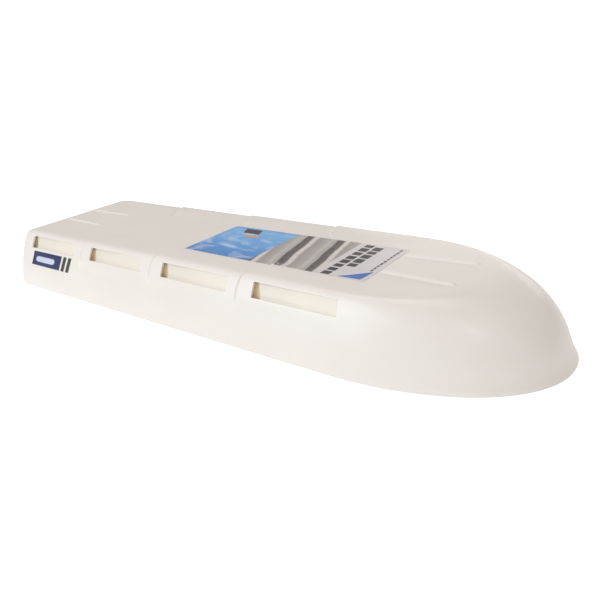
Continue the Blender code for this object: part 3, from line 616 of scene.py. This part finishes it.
def skin_columns():
    """Columns of skin points from the back to the nose, their hood moves, distances and roof middles."""
    distances = straight_distances()
    made = [skin_column(straight_station(distance), distance) for distance in distances]
    rounding = back_columns(made[0][0])
    middles = [Vector((column[-1].x, 0, column[-1].z)) for column in rounding]
    middles += [Vector((distance, 0, ROOF_Z)) for distance in distances]
    still = [Vector((0, 0, 0))] * len(rounding[0])
    made += [skin_column(nose_station(angle), NOSE_START) for angle in nose_angles()]
    columns = rounding + [points for points, _ in made]
    moves = [still] * len(rounding) + [column_moves for _, column_moves in made]
    distances = [0.0] * len(rounding) + distances
    for point in columns[-1]:
        point.y = 0.0
    for column in columns + [middles]:
        for point in column:
            lean = smooth_step(-point.x, -60 * MM, 0)
            point.x += BACK_LEAN * (point.z - FOOT_Z) * lean
    return columns, moves, distances, middles


def build_skin():
    """Right-hand half of the cap's plain outer skin and how its hoods will move each point."""
    bm = bmesh.new()
    columns, moves, distances, middles = skin_columns()
    nose_first = len(distances)
    nose_count = len(columns) - nose_first
    distances += [NOSE_START] * nose_count
    pole = bm.verts.new((NOSE_START, 0, ROOF_Z))
    tops = [bm.verts.new(point) for point in middles] + [pole] * nose_count
    rows = [[bm.verts.new(point) for point in column] for column in columns]
    window_rows = range(LOW_ROWS, LOW_ROWS + WINDOW_ROWS)
    for index, (here, there, top, next_top) in enumerate(zip(rows, rows[1:], tops, tops[1:])):
        middle = (distances[index] + distances[index + 1]) / 2
        in_window = WINDOW_START < middle and (middle - WINDOW_START) % PITCH < WINDOW_LENGTH
        in_window = in_window and index < nose_first + NOSE_WINDOW_COLUMNS
        for low in range(len(here) - 1):
            if not (in_window and low in window_rows):
                bm.faces.new((here[low], there[low], there[low + 1], here[low + 1]))
        if top is next_top:
            bm.faces.new((here[-1], there[-1], top))
        else:
            bm.faces.new((here[-1], there[-1], next_top, top))
    close_back(bm, rows[0], tops[0])
    bmesh.ops.remove_doubles(bm, verts=bm.verts, dist=0.00002)
    bmesh.ops.translate(bm, verts=bm.verts, vec=(BACK_X, 0, 0))
    hood_moves = []
    for column, column_moves in zip(columns, moves):
        hood_moves += [(Vector((from_back(point.x), point.y, point.z)), move)
                       for point, move in zip(column, column_moves)]
    return bm, hood_moves


def raise_hoods(cap, hood_moves):
    """Move the wall's inside and outside by the hood of the nearest skin point."""
    tree = kdtree.KDTree(len(hood_moves))
    for index, (place, _) in enumerate(hood_moves):
        tree.insert(place, index)
    tree.balance()
    for vert in cap.data.vertices:
        side = 1 if vert.co.y > 0 else -1
        _, index, gap = tree.find((vert.co.x, -abs(vert.co.y), vert.co.z))
        if gap < 1.5 * WALL:
            move = hood_moves[index][1]
            vert.co.y -= side * move.y
            vert.co.z += move.z


def boss_places():
    """Distances of the baffle bosses, each in a gap between two windows."""
    gap_middle = WINDOW_START + WINDOW_LENGTH + (PITCH - WINDOW_LENGTH) / 2 + 4 * MM
    return [gap_middle + index * PITCH for index in range(WINDOWS - 1)]


REAR_FIX = (60 * MM, 20 * MM)          # Y and Z
FRONT_POST = (670 * MM, 40 * MM)       # distance and Y
BOSS_Y = 83 * MM
# Start, end and radius of the solid and the hollow at each kind of fixing
REAR_BOSS, REAR_POCKET = (1.8 * MM, 8 * MM, 9.5 * MM), (-4 * MM, 4.9 * MM, 7 * MM)
BAFFLE_BOSS, BAFFLE_HOLE = (71.3 * MM, ROOF_Z - WALL / 2, 4 * MM), (69 * MM, 76.5 * MM, 1.8 * MM)
POST_BOSS, POST_HOLE = (52 * MM, ROOF_Z - WALL / 2, 9 * MM), (51 * MM, 70 * MM, 6.3 * MM)
SCREW_HOLE = (-2 * MM, 10 * MM, 2.5 * MM)
CHEEK_Y = (8 * MM, 10 * MM)            # either side of a rear fixing
CHEEK_X, CHEEK_Z = (2.5 * MM, 15.5 * MM), (12 * MM, 28 * MM)


def rear_rod(bm, side, start, end, radius):
    y, z = side * REAR_FIX[0], REAR_FIX[1]
    add_rod(bm, (from_back(start), y, z), (from_back(end), y, z), radius)


def fixing_rods(rear, baffle, post):
    """A rod at each of the cap's fixings, given as start, end and radius for each kind."""
    bm = bmesh.new()
    spots = [(place, BOSS_Y, baffle) for place in boss_places()] + [(*FRONT_POST, post)]
    for _, side in SIDES:
        rear_rod(bm, side, *rear)
        for distance, y, (low, high, radius) in spots:
            x = from_back(distance)
            add_rod(bm, (x, side * y, low), (x, side * y, high), radius)
    return bm


def build_cap():
    skin, hood_moves = build_skin()
    cap = finish_mesh("cover_moulding", skin, cap_material)
    mirror = cap.modifiers.new("mirror", "MIRROR")
    mirror.use_axis = (False, True, False)
    mirror.merge_threshold = 0.00005
    solidify = cap.modifiers.new("wall", "SOLIDIFY")
    solidify.thickness = WALL
    solidify.offset = -1
    apply_modifiers(cap)
    boolean(cap, "UNION", fixing_rods(REAR_BOSS, BAFFLE_BOSS, POST_BOSS))
    boolean(cap, "DIFFERENCE", fixing_rods(REAR_POCKET, BAFFLE_HOLE, POST_HOLE))
    cheeks, screw_holes = bmesh.new(), bmesh.new()
    for _, side in SIDES:
        for cheek in (-1, 1):
            spans = (CHEEK_X, sorted(side * REAR_FIX[0] + cheek * y for y in CHEEK_Y), CHEEK_Z)
            low, high = ((from_back(x), y, z) for x, y, z in zip(*spans))
            add_box(cheeks, low, high)
        rear_rod(screw_holes, side, *SCREW_HOLE)
    boolean(cap, "UNION", cheeks)
    boolean(cap, "DIFFERENCE", screw_holes)
    raise_hoods(cap, hood_moves)
    bevel(cap, 0.5 * MM)
    smooth_shade(cap, 50)
    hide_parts("cover_shell")


build_cap()


# ---------------------------------------------------------------- roof ribs

# Distance, Y and rise at each rib's two ends
RIBS = (((20 * MM, 25 * MM, 3.0 * MM), (108 * MM, 27 * MM, 1.3 * MM)),
        ((597 * MM, 26 * MM, 3.0 * MM), (683 * MM, 30 * MM, 1.8 * MM)))
RIB_HALF = 3.8 * MM
RIB_SINK = 0.25 * MM           # a rib's edges lie this far below the roof
RIB_ACROSS, RIB_ALONG = 12, 44


def rib_line(start, end, side, share):
    """Points across a rib, at a share of its length."""
    distance, y, full_rise = (mix(first, last, share) for first, last in zip(start, end))
    rise = full_rise * min(smooth_step(share, 0, 0.04), 1 - smooth_step(share, 0.94, 1.0))
    points = []
    for cross in range(RIB_ACROSS + 1):
        offset = 2 * cross / RIB_ACROSS - 1
        crown = (1 - abs(offset) ** 2.4) ** 0.9
        height = ROOF_Z - RIB_SINK + (rise + RIB_SINK) * crown
        points.append((from_back(distance), side * y + offset * RIB_HALF, height))
    return points


def build_ribs():
    """Long low ribs, taller at the back and running out towards the nose."""
    bm = bmesh.new()
    for start, end in RIBS:
        for _, side in SIDES:
            grid = [[bm.verts.new(point) for point in rib_line(start, end, side, step / RIB_ALONG)]
                    for step in range(RIB_ALONG + 1)]
            for near, far in zip(grid, grid[1:]):
                for cross in range(RIB_ACROSS):
                    bm.faces.new((near[cross], far[cross], far[cross + 1], near[cross + 1]))
            under = [[bm.verts.new((vert.co.x, vert.co.y, ROOF_Z - 1 * MM)) for vert in (line[0], line[-1])]
                     for line in (grid[0], grid[-1])]
            bm.faces.new([line[0] for line in grid] + [under[1][0], under[0][0]])
            bm.faces.new([line[-1] for line in grid] + [under[1][1], under[0][1]])
            bm.faces.new(grid[0] + [under[0][1], under[0][0]])
            bm.faces.new(grid[-1] + [under[1][1], under[1][0]])
            bm.faces.new((under[0][0], under[0][1], under[1][1], under[1][0]))
    finish_mesh("roof_ribs", bm, cap_material, 60)


build_ribs()


# ---------------------------------------------------------------- louvre baffles

BLADE_Z = (47 * MM, 76.2 * MM)
BLADE_ROWS = 36
BLADE_OVERLAP = 7 * MM         # how far a blade runs on past its window
SLOT_LOW, SLOT_HIGH = 8.0 * MM, 3.2 * MM
BLADE_DEEP, BLADE_NEAR = 5.6 * MM, WALL + 0.5 * MM
LEDGE = WALL + 0.15 * MM       # the blades turn out to the wall below the sills
LEDGE_Z = (WINDOW_LOW - 0.5 * MM, WINDOW_LOW + 2.5 * MM)
LEDGE_SHIFT = 0.85             # and their free ends move forwards as they do
BLADE_THICKNESS = 1.5 * MM
SCOOP_THICKNESS = 1.2 * MM
SCOOP_DEPTH = 8 * MM
SCOOP_ENDS = (-9 * MM, 24 * MM)
WEB_NOTCH_LENGTH, WEB_NOTCH_DEPTH = 12 * MM, 16 * MM
WEB_Z = (69 * MM, 71 * MM)
WEB_Y = 77 * MM
WEB_STEPS = 10


def blade_place(start, share, z):
    """Distance and depth behind the wall of a blade, from its free end (0) to its front end (1)."""
    slot = mix(SLOT_LOW, SLOT_HIGH, smooth_step(z, WINDOW_LOW, WINDOW_HIGH))
    distance = mix(start + slot, start + WINDOW_LENGTH + BLADE_OVERLAP, share)
    inside = mix(BLADE_DEEP, BLADE_NEAR, smooth_step(share, 0, 0.75))
    ledged = mix(LEDGE, inside, smooth_step(z, *LEDGE_Z))
    return distance + LEDGE_SHIFT * (inside - ledged) * (1 - share), ledged


def scoop_place(start, share, _):
    """A curved guide that leaves the wall behind the slot and passes inside the blade."""
    distance = start + mix(*SCOOP_ENDS, share)
    return distance, mix(WALL + 0.3 * MM, SCOOP_DEPTH, smooth_step(share, 0, 0.4))


def side_lines():
    """The wall's Y at the blade rows' heights, at each window's two ends."""
    lines = []
    for index in range(WINDOWS):
        start = WINDOW_START + index * PITCH
        sections = [Section(straight_station(x)) for x in (start, min(start + WINDOW_LENGTH, NOSE_START))]
        line = []
        for row in range(BLADE_ROWS + 1):
            z = mix(*BLADE_Z, row / BLADE_ROWS)
            points = [section.at(section.length_at_height(z)) for section in sections]
            line.append([point.y + hood_move(point).y for point in points])
        lines.append(line)
    return lines


def wall_sheet(bm, side, index, place, thickness, across):
    """A thin closed sheet set behind the wall of one window."""
    start = WINDOW_START + index * PITCH

    def spot(column, row, depth):
        z = mix(*BLADE_Z, row / BLADE_ROWS)
        distance, inside = place(start, column / across, z)
        y = mix(*SIDE_LINES[index][row], (distance - start) / WINDOW_LENGTH) + inside + depth
        return from_back(distance), -side * y, z

    closed_sheet(bm, (0.0, thickness), across, BLADE_ROWS, spot)


def web_outline(side):
    """The web's plan: straight inside, following the blades outside, and notched behind each slot."""
    height = (WEB_Z[0] + WEB_Z[1]) / 2
    row = round((height - BLADE_Z[0]) / (BLADE_Z[1] - BLADE_Z[0]) * BLADE_ROWS)
    outer = []
    for index in range(WINDOWS):
        start = WINDOW_START + index * PITCH
        hidden = -side * (SIDE_LINES[index][row][0] + WEB_NOTCH_DEPTH)
        outer += [(start - WEB_NOTCH_LENGTH, hidden), (start + WEB_NOTCH_LENGTH, hidden)]
        for step in range(2, WEB_STEPS + 1):
            distance, inside = blade_place(start, step / WEB_STEPS, height)
            wall = mix(*SIDE_LINES[index][row], (distance - start) / WINDOW_LENGTH)
            outer.append((distance, -side * (wall + inside + BLADE_THICKNESS / 2)))
    return outer + [(outer[-1][0], side * WEB_Y), (outer[0][0], side * WEB_Y)]


def build_baffle(name, side):
    """Blades behind the windows, each with a guide at its slot, on one long web."""
    blades, scoops, web, holes = (bmesh.new() for _ in range(4))
    for index in range(WINDOWS):
        wall_sheet(blades, side, index, blade_place, BLADE_THICKNESS, 26)
        wall_sheet(scoops, side, index, scoop_place, SCOOP_THICKNESS, 16)
    baffle = finish_mesh(f"{name}_blades", blades, baffle_material, 50)
    bevel(baffle, 0.3 * MM)
    # The guides carry the tan painted shade of the slots.
    guides = finish_mesh(f"{name}_guides", scoops, guide_painted_shade_material, 50)
    bevel(guides, 0.25 * MM)
    flat_patch(web, web_outline(side), *WEB_Z)
    rail = finish_mesh(f"{name}_web", web, baffle_material, 50)
    for place in boss_places():
        spot = (from_back(place), side * BOSS_Y)
        add_rod(holes, (*spot, WEB_Z[0] - 2 * MM), (*spot, WEB_Z[1] + 2 * MM), BAFFLE_HOLE[2])
    boolean(rail, "DIFFERENCE", holes)
    bevel(rail, 0.3 * MM)
    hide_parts(name)


SIDE_LINES = side_lines()
for side_name, side_sign in SIDES:
    build_baffle(f"louvre_baffle_{side_name}", side_sign)


# ---------------------------------------------------------------- carried-over parts

def repaint(node_names, material, bevel_width):
    """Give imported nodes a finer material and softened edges."""
    for name in node_names:
        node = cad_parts[name]
        node.data.materials.clear()
        node.data.materials.append(material)
        bevel(node, bevel_width, 40)


repaint(["roof_base"] + [f"screen_retainer_{end}" for end in ("right", "left", "back", "front")],
        base_material, 0.4 * MM)
repaint(("front_grommet_right", "front_grommet_left"), grommet_material, 0.3 * MM)
repaint(("nut_plate_right", "nut_plate_left", "cover_washer_right", "cover_washer_left"),
        zinc_material, 0.15 * MM)


# ---------------------------------------------------------------- screws

THREAD_PITCH = 0.9 * MM
THREAD_DEPTH = 0.3 * MM
SCREW_SEGMENTS = 36
# Shares of the head's radius, and of its height for the floor
RECESS_LENGTH, RECESS_WIDTH, RECESS_FLOOR = 0.6, 0.16, 0.35
HEAD_CURVE = ((0.5, 1.0), (0.75, 0.93), (0.92, 0.7), (1.0, 0.35), (1.0, 0.0))
# Head radius, head height, thread radius and length
COVER_SCREW = (4.2 * MM, 2.3 * MM, 2 * MM, 14 * MM)
BAFFLE_SCREW = (3 * MM, 2 * MM, 1.5 * MM, 7 * MM)
SCREEN_SCREW = (2.6 * MM, 1.6 * MM, 1.2 * MM, 9 * MM)


def screw_profile(head_radius, head_height, radius, length):
    """Radius and height from the top of a pan head, down its threads, to just above the point."""
    profile = [(across * head_radius, up * head_height) for across, up in HEAD_CURVE]
    profile += [(radius, 0.0), (radius, -THREAD_PITCH)]
    z = -THREAD_PITCH
    while z > -length + 2 * radius:
        profile += [(radius - THREAD_DEPTH, z - THREAD_PITCH / 2), (radius, z - THREAD_PITCH)]
        z -= THREAD_PITCH
    return profile + [(0.35 * radius, -length + 0.2 * radius)]


def build_screw(node, direction, sizes, body):
    """A pan-head screw with a cross recess and a thread, where the plain packed one stands."""
    low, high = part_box(node)
    direction = Vector(direction)
    head_radius, head_height, _, length = sizes
    seat = (low + high) / 2 - direction * (head_height - length) / 2
    turn = Vector((0, 0, 1)).rotation_difference(direction).to_matrix().to_4x4()
    place = Matrix.Translation(seat) @ turn
    bm = bmesh.new()
    angles = [2 * math.pi * step / SCREW_SEGMENTS for step in range(SCREW_SEGMENTS)]
    rings = [[bm.verts.new((radius * math.cos(angle), radius * math.sin(angle), z)) for angle in angles]
             for radius, z in screw_profile(*sizes)]
    bm.faces.new(rings[0])
    tip = bm.verts.new((0, 0, -length))
    for step in range(SCREW_SEGMENTS):
        other = (step + 1) % SCREW_SEGMENTS
        for upper, lower in zip(rings, rings[1:]):
            bm.faces.new((upper[step], lower[step], lower[other], upper[other]))
        bm.faces.new((rings[-1][step], tip, rings[-1][other]))
    bmesh.ops.transform(bm, matrix=place, verts=bm.verts)
    screw = finish_mesh(f"{node}_fine", bm, zinc_material, 40, body)
    for shares in ((RECESS_LENGTH, RECESS_WIDTH), (RECESS_WIDTH, RECESS_LENGTH)):
        x, y = (share * head_radius for share in shares)
        recess = bmesh.new()
        add_box(recess, (-x, -y, RECESS_FLOOR * head_height), (x, y, 2 * head_height))
        bmesh.ops.transform(recess, matrix=place, verts=recess.verts)
        boolean(screw, "DIFFERENCE", recess)
    smooth_shade(screw, 40)
    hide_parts(node)


for side_name, _ in SIDES:
    build_screw(f"cover_screw_{side_name}", (-1, 0, 0), COVER_SCREW, f"screw_{side_name}")
    for number in (1, 2, 3):
        build_screw(f"baffle_screw_{side_name}_{number}", (0, 0, -1), BAFFLE_SCREW, "cover")
for number in range(1, 9):
    build_screw(f"retainer_screw_{number}", (0, 0, 1), SCREEN_SCREW, "base")


# ---------------------------------------------------------------- insect screen

WIRE_PITCH, WIRE_RADIUS = 3.9 * MM, 0.33 * MM
WIRE_SIDES = 5


def add_wire(bm, points, across):
    """A wire through points, closed at both ends."""
    angles = [2 * math.pi * side / WIRE_SIDES for side in range(WIRE_SIDES)]
    offsets = [across * (WIRE_RADIUS * math.cos(angle)) + Vector((0, 0, WIRE_RADIUS * math.sin(angle)))
               for angle in angles]
    rings = [[bm.verts.new(point + offset) for offset in offsets] for point in points]
    for near, far in zip(rings, rings[1:]):
        for side in range(WIRE_SIDES):
            other = (side + 1) % WIRE_SIDES
            bm.faces.new((near[side], far[side], far[other], near[other]))
    bm.faces.new(rings[0])
    bm.faces.new(rings[-1][::-1])


def build_screen():
    """Woven wire: every wire rises over one crossing wire and dips under the next."""
    low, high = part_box("insect_screen")
    middle = (low + high) / 2
    counts = [int((high[axis] - low[axis] - 2 * WIRE_RADIUS) // WIRE_PITCH) for axis in (0, 1)]
    firsts = [middle[axis] - (counts[axis] - 1) * WIRE_PITCH / 2 for axis in (0, 1)]
    bm = bmesh.new()
    for spread, run, lift in ((0, 1, WIRE_RADIUS), (1, 0, -WIRE_RADIUS)):
        for wire in range(counts[spread]):
            stops = [(low[run] + WIRE_RADIUS, 0.0)]
            stops += [(firsts[run] + crossing * WIRE_PITCH, lift if (wire + crossing) % 2 else -lift)
                      for crossing in range(counts[run])]
            stops.append((high[run] - WIRE_RADIUS, 0.0))
            points = []
            for place, rise in stops:
                point = Vector((0, 0, middle.z + rise))
                point[spread] = firsts[spread] + wire * WIRE_PITCH
                point[run] = place
                points.append(point)
            across = Vector((0, 0, 0))
            across[spread] = 1
            add_wire(bm, points, across)
    screen = finish_mesh("screen_mesh", bm, wire_material, 80, "base")
    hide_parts("insect_screen")


build_screen()


# ---------------------------------------------------------------- printed films

LABEL_X = (328 * MM, 596 * MM)
LABEL_Y = (-60 * MM, 42 * MM)
LABEL_ROUND = 3 * MM
LABEL_STRIPS = (4 * MM, 2.5 * MM)      # strip widths along X, and along Y near the hoods
LABEL_HOOD_Y = -40 * MM                # the hoods reach the label only beyond this
FILM_TOP = ROOF_Z + 0.35 * MM
PRINT_TOP = FILM_TOP + 0.08 * MM
PRINT_SINK = 0.05 * MM


def film_surface(nodes, colour, roughness=(0.285, 0.36)):
    rough = nodes.ramp(nodes.noise(300.0, 4.0), ((0.3, roughness[0]), (0.7, roughness[1])))
    return nodes.finish(colour, rough, nodes.bump(nodes.noise(80.0, 3.0), 0.08 * MM, 0.3))


def film_material(name, light, dark):
    nodes = Nodes(name)
    mottle = nodes.noise(35.0, 4.0)
    return film_surface(nodes, nodes.ramp(mottle, ((0.3, dark), (0.7, light))), (0.29, 0.37))


def sky_material():
    """Printed sky: blue bands that grow paler across it, with soft clouds."""
    nodes = Nodes("print_sky")
    base = nodes.ramp(nodes.along("Y", 9.0, 0.55), (
        (0.0, (0.05, 0.21, 0.56)), (0.5, (0.12, 0.36, 0.74)), (0.85, (0.20, 0.46, 0.78)),
        (1.0, (0.07, 0.20, 0.50))))
    cloud = nodes.noise(26.0, 5.0, 0.6, nodes.place(scale=(1.0, 1.7, 1.0)), 0.6)
    colour = nodes.mix(nodes.ramp(cloud, ((0.5, 0.0), (0.72, 0.8))), base, (0.70, 0.78, 0.88))
    return film_surface(nodes, colour)


def stripe_material():
    """Printed slanting bands in greys, like light across a pressed panel."""
    nodes = Nodes("print_bands")
    bands = nodes.along("X", 23.0, 0.35, nodes.place(turn=math.radians(-14)))
    shifted = nodes.math("ADD", bands, nodes.math("MULTIPLY", nodes.noise(12.0, 3.0), 0.25))
    tone = nodes.ramp(nodes.math("FRACT", shifted), (
        (0.0, (0.06, 0.05, 0.045)), (0.22, (0.11, 0.095, 0.09)), (0.27, (0.70, 0.64, 0.60)),
        (0.36, (0.76, 0.70, 0.66)), (0.44, (0.36, 0.32, 0.30)), (0.72, (0.44, 0.41, 0.39)),
        (0.8, (0.55, 0.52, 0.48)), (1.0, (0.42, 0.39, 0.36))))
    grain = nodes.noise(160.0, 3.0)
    colour = nodes.mix(nodes.ramp(grain, ((0.4, 0.0), (0.7, 0.3))), tone, (0.28, 0.26, 0.24))
    return film_surface(nodes, colour)


ink_material = film_material("print_ink", (0.05, 0.045, 0.045), (0.025, 0.022, 0.022))
blue_material = film_material("print_blue", (0.06, 0.17, 0.55), (0.04, 0.12, 0.42))
clear_material = film_material("film_clear", (0.70, 0.66, 0.66), (0.66, 0.62, 0.63))
navy_material = film_material("badge_navy", (0.010, 0.020, 0.115), (0.006, 0.012, 0.075))
pale_material = film_material("badge_pale", (0.62, 0.65, 0.78), (0.50, 0.53, 0.68))
orange_material = film_material("print_orange", (0.72, 0.38, 0.20), (0.58, 0.28, 0.14))


def round_rectangle(x_low, x_high, y_low, y_high, radius, steps=8):
    corners = ((x_high - radius, y_high - radius, 0), (x_low + radius, y_high - radius, 90),
               (x_low + radius, y_low + radius, 180), (x_high - radius, y_low + radius, 270))
    points = []
    for middle_x, middle_y, start in corners:
        for step in range(steps + 1):
            angle = math.radians(start + 90 * step / steps)
            points.append((middle_x + radius * math.cos(angle), middle_y + radius * math.sin(angle)))
    return points


def drape(bm):
    """Cut a flat film into strips and lift them with the roof beneath."""
    runs = ((from_back(LABEL_X[0]), from_back(LABEL_X[1]), (1, 0, 0)), (LABEL_Y[0], LABEL_HOOD_Y, (0, 1, 0)))
    for (place, stop, direction), step in zip(runs, LABEL_STRIPS):
        while place < stop:
            spot = [place * axis for axis in direction]
            geometry = bm.verts[:] + bm.edges[:] + bm.faces[:]
            bmesh.ops.bisect_plane(bm, geom=geometry, plane_co=spot, plane_no=direction)
            place += step
    bmesh.ops.triangulate(bm, faces=bm.faces[:])
    for vert in bm.verts:
        vert.co.z += roof_lift(vert.co.x - BACK_X, vert.co.y)
    return bm


def print_areas(name, areas, material):
    """Printed areas on the film: each is an outline in millimetres and an extra height."""
    bm = bmesh.new()
    for outline, extra in areas:
        flat_patch(bm, [(x * MM, y * MM) for x, y in outline], FILM_TOP - PRINT_SINK, PRINT_TOP + extra)
    finish_mesh(f"roof_label_{name}", drape(bm), material)


def rectangle(x_low, x_high, y_low, y_high):
    return [(x_low, y_low), (x_high, y_low), (x_high, y_high), (x_low, y_high)]


def mark_rows():
    """Plain blocks in two rows, then a finer row, where printed marks would stand."""
    areas = []
    draw = random.Random(7)
    for low, high, start, end in ((541, 552, -58, 40), (555, 566, -28, 40)):
        y = start
        while y < end - 8:
            width = draw.uniform(8, 13)
            gap = draw.uniform(2.5, 4)
            thick = draw.uniform(0.0025, 0.0045)
            stop = min(y + width, end)
            areas.append((rectangle(low, high, y, stop), thick * MM))
            y = stop + gap
    y = -32
    while y < 38:
        width = draw.uniform(3, 7)
        areas.append((rectangle(587, 589.5, y, y + width), 0.0))
        y += width + 1.8
    return areas


def build_label():
    """The roof label: a pale film with a printed sky, slanting bands and plain marks."""
    film = bmesh.new()
    flat_patch(film, round_rectangle(*LABEL_X, *LABEL_Y, LABEL_ROUND), ROOF_Z - 0.1 * MM, FILM_TOP)
    label = finish_mesh("roof_label_film", drape(film), clear_material)
    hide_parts("roof_label")
    sky = [(328.6, -57), (331, -59.6), (438, -59.6), (438, 41.6), (331, 41.6), (328.6, 39)]
    print_areas("sky", [(sky, 0.0)], sky_material())
    print_areas("bands", [(rectangle(438.2, 532, -59.6, 41.6), 0.0)], stripe_material())
    accent = [(372, 8), (394, 12), (388, 18), (366, 16)]
    print_areas("accent", [(accent, 0.02 * MM)], orange_material)
    device = [(358, 22), (386, 22), (380, 37), (352, 37)]
    print_areas("marks", [(device, 0.02 * MM)] + mark_rows(), ink_material)
    print_areas("wedge", [([(563, -57.5), (590, -56), (592.5, -33)], 0.0)], blue_material)


build_label()

PANEL_THICKNESS, PANEL_GAP = 0.35 * MM, 0.15 * MM
BAR_THICKNESS, BAR_ROUND = 0.1 * MM, 5 * MM
BADGE_Z = (36 * MM, 56 * MM)
BADGE_LEAN = 7 * MM            # how far forwards the badge's top lies
PATCH_ACROSS, PATCH_UP = 24, 10


def wall_patch(name, ends, heights, lean, stand_off, thickness, material, round_ends=0.0):
    """A thin leaning sheet that follows the right-hand wall, from its low edge's ends."""
    def spot(column, row, depth):
        share = row / PATCH_UP
        inset = round_ends * (1 - math.sqrt(max(1 - (2 * share - 1) ** 2, 0)))
        x = mix(ends[0] + inset, ends[1] - inset, column / PATCH_ACROSS) + lean * share
        z = mix(*heights, share)
        return from_back(x), wall_point(x, z).y - depth, z

    bm = bmesh.new()
    closed_sheet(bm, (stand_off, stand_off + thickness), PATCH_ACROSS, PATCH_UP, spot)
    return finish_mesh(f"side_badge_{name}", bm, material)


def build_badge():
    """A dark panel with a pale bar, and two strokes beside it."""
    panel = (BADGE_Z, BADGE_LEAN, PANEL_GAP, PANEL_THICKNESS)
    badge = wall_patch("panel", (34 * MM, 107 * MM), *panel, navy_material)
    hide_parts("side_badge")
    wall_patch("bar", (45 * MM, 94 * MM), (41.5 * MM, 49.5 * MM), 3 * MM,
               PANEL_GAP + PANEL_THICKNESS, BAR_THICKNESS, pale_material, BAR_ROUND)
    wall_patch("stroke_1", (112 * MM, 119 * MM), *panel, ink_material)
    wall_patch("stroke_2", (124 * MM, 131 * MM), *panel, ink_material)


build_badge()


# ---------------------------------------------------------------- floor, light and camera

WORLD_LIGHT = 0.5
WORLD_GLOW = 1.1               # as the camera sees it
FLOOR_GLOW = 0.62              # as the camera sees it
FLOOR_BOUNCE = 0.25            # as it lights the object
FLOOR_Z = -0.5 * MM
CAMERA_PLACE = (0.4995, -0.5198, 0.3075)
CAMERA_YAW, CAMERA_PITCH, CAMERA_ROLL = 0.6928, 0.4148, -0.1061
CAMERA_LENS = 35.214           # millimetres, on a 36 mm sensor


def camera_level(tree, seen, unseen):
    """One value for what the camera sees, and another for what lights the object."""
    path = tree.nodes.new("ShaderNodeLightPath")
    level = tree.nodes.new("ShaderNodeMapRange")
    level.inputs["To Min"].default_value = unseen
    level.inputs["To Max"].default_value = seen
    tree.links.new(path.outputs["Is Camera Ray"], level.inputs["Value"])
    return level.outputs["Result"]


def build_floor():
    bm = bmesh.new()
    bmesh.ops.create_grid(bm, x_segments=2, y_segments=2, size=60.0)
    floor = mesh_object("floor", bm)
    floor.location.z = FLOOR_Z
    nodes = Nodes("floor_paper")
    colour = nodes.ramp(nodes.noise(40.0, 3.0), ((0.3, (0.90, 0.90, 0.90)), (0.7, (0.93, 0.93, 0.93))))
    nodes.shader.inputs["Emission Color"].default_value = (1, 1, 1, 1)
    strength = camera_level(nodes.tree, FLOOR_GLOW, FLOOR_BOUNCE)
    nodes.feed([nodes.shader.inputs["Emission Strength"]], [strength])
    floor.data.materials.append(nodes.finish(colour, 0.9))
    nodes.material.cycles.emission_sampling = "NONE"


def area_light(name, place, target, size, energy, colour=(1, 1, 1)):
    light = bpy.data.lights.new(name, "AREA")
    light.energy = energy
    light.color = colour
    light.shape = "RECTANGLE"
    light.size, light.size_y = size
    lamp = bpy.data.objects.new(name, light)
    lamp.location = place
    lamp.rotation_mode = "QUATERNION"
    lamp.rotation_quaternion = (Vector(target) - Vector(place)).to_track_quat("-Z", "Y")
    bpy.context.scene.collection.objects.link(lamp)


def build_camera():
    """The photograph's view, fitted to the cap's outline."""
    level = math.cos(CAMERA_PITCH)
    forward = Vector((-math.sin(CAMERA_YAW) * level, math.cos(CAMERA_YAW) * level, -math.sin(CAMERA_PITCH)))
    right = forward.cross(Vector((0, 0, 1))).normalized()
    up = right.cross(forward)
    camera_x = right * math.cos(CAMERA_ROLL) + up * math.sin(CAMERA_ROLL)
    camera_y = up * math.cos(CAMERA_ROLL) - right * math.sin(CAMERA_ROLL)
    data = bpy.data.cameras.new("camera")
    data.sensor_width = 36.0
    data.lens = CAMERA_LENS
    data.clip_end = 50
    camera = bpy.data.objects.new("camera", data)
    turn = Matrix((camera_x, camera_y, -forward)).transposed().to_4x4()
    camera.matrix_world = Matrix.Translation(CAMERA_PLACE) @ turn
    bpy.context.scene.collection.objects.link(camera)
    bpy.context.scene.camera = camera


def build_world():
    """Even studio light that looks pure white behind the object."""
    world = bpy.data.worlds.new("studio")
    world.use_nodes = True
    background = world.node_tree.nodes["Background"]
    strength = camera_level(world.node_tree, WORLD_GLOW, WORLD_LIGHT)
    world.node_tree.links.new(strength, background.inputs["Strength"])
    background.inputs["Color"].default_value = (1.0, 0.975, 0.95, 1.0)
    bpy.context.scene.world = world


build_floor()
area_light("key", (-1.0, -2.15, 1.1), (0, 0, 0.03), (1.4, 1.4), 25, (0.83, 0.935, 1.0))
area_light("top", (-0.2, 0.3, 2.3), (0, 0, 0.03), (1.6, 1.6), 14, (1.0, 0.955, 0.90))
area_light("back", (-0.2, 2.4, 0.55), (0, 0, 0.05), (2.2, 0.5), 6, (1, 0.98, 0.95))
area_light("spark_side", (-0.05, -2.2, 1.15), (0.21, -0.098, 0.067), (0.16, 0.10), 2.2)
area_light("spark_nose", (1.55, -1.1, 1.42), (0.32, -0.068, 0.058), (0.16, 0.10), 2.2)
build_world()
bpy.context.scene.view_settings.view_transform = "Standard"
bpy.context.scene.view_settings.look = "None"
build_camera()
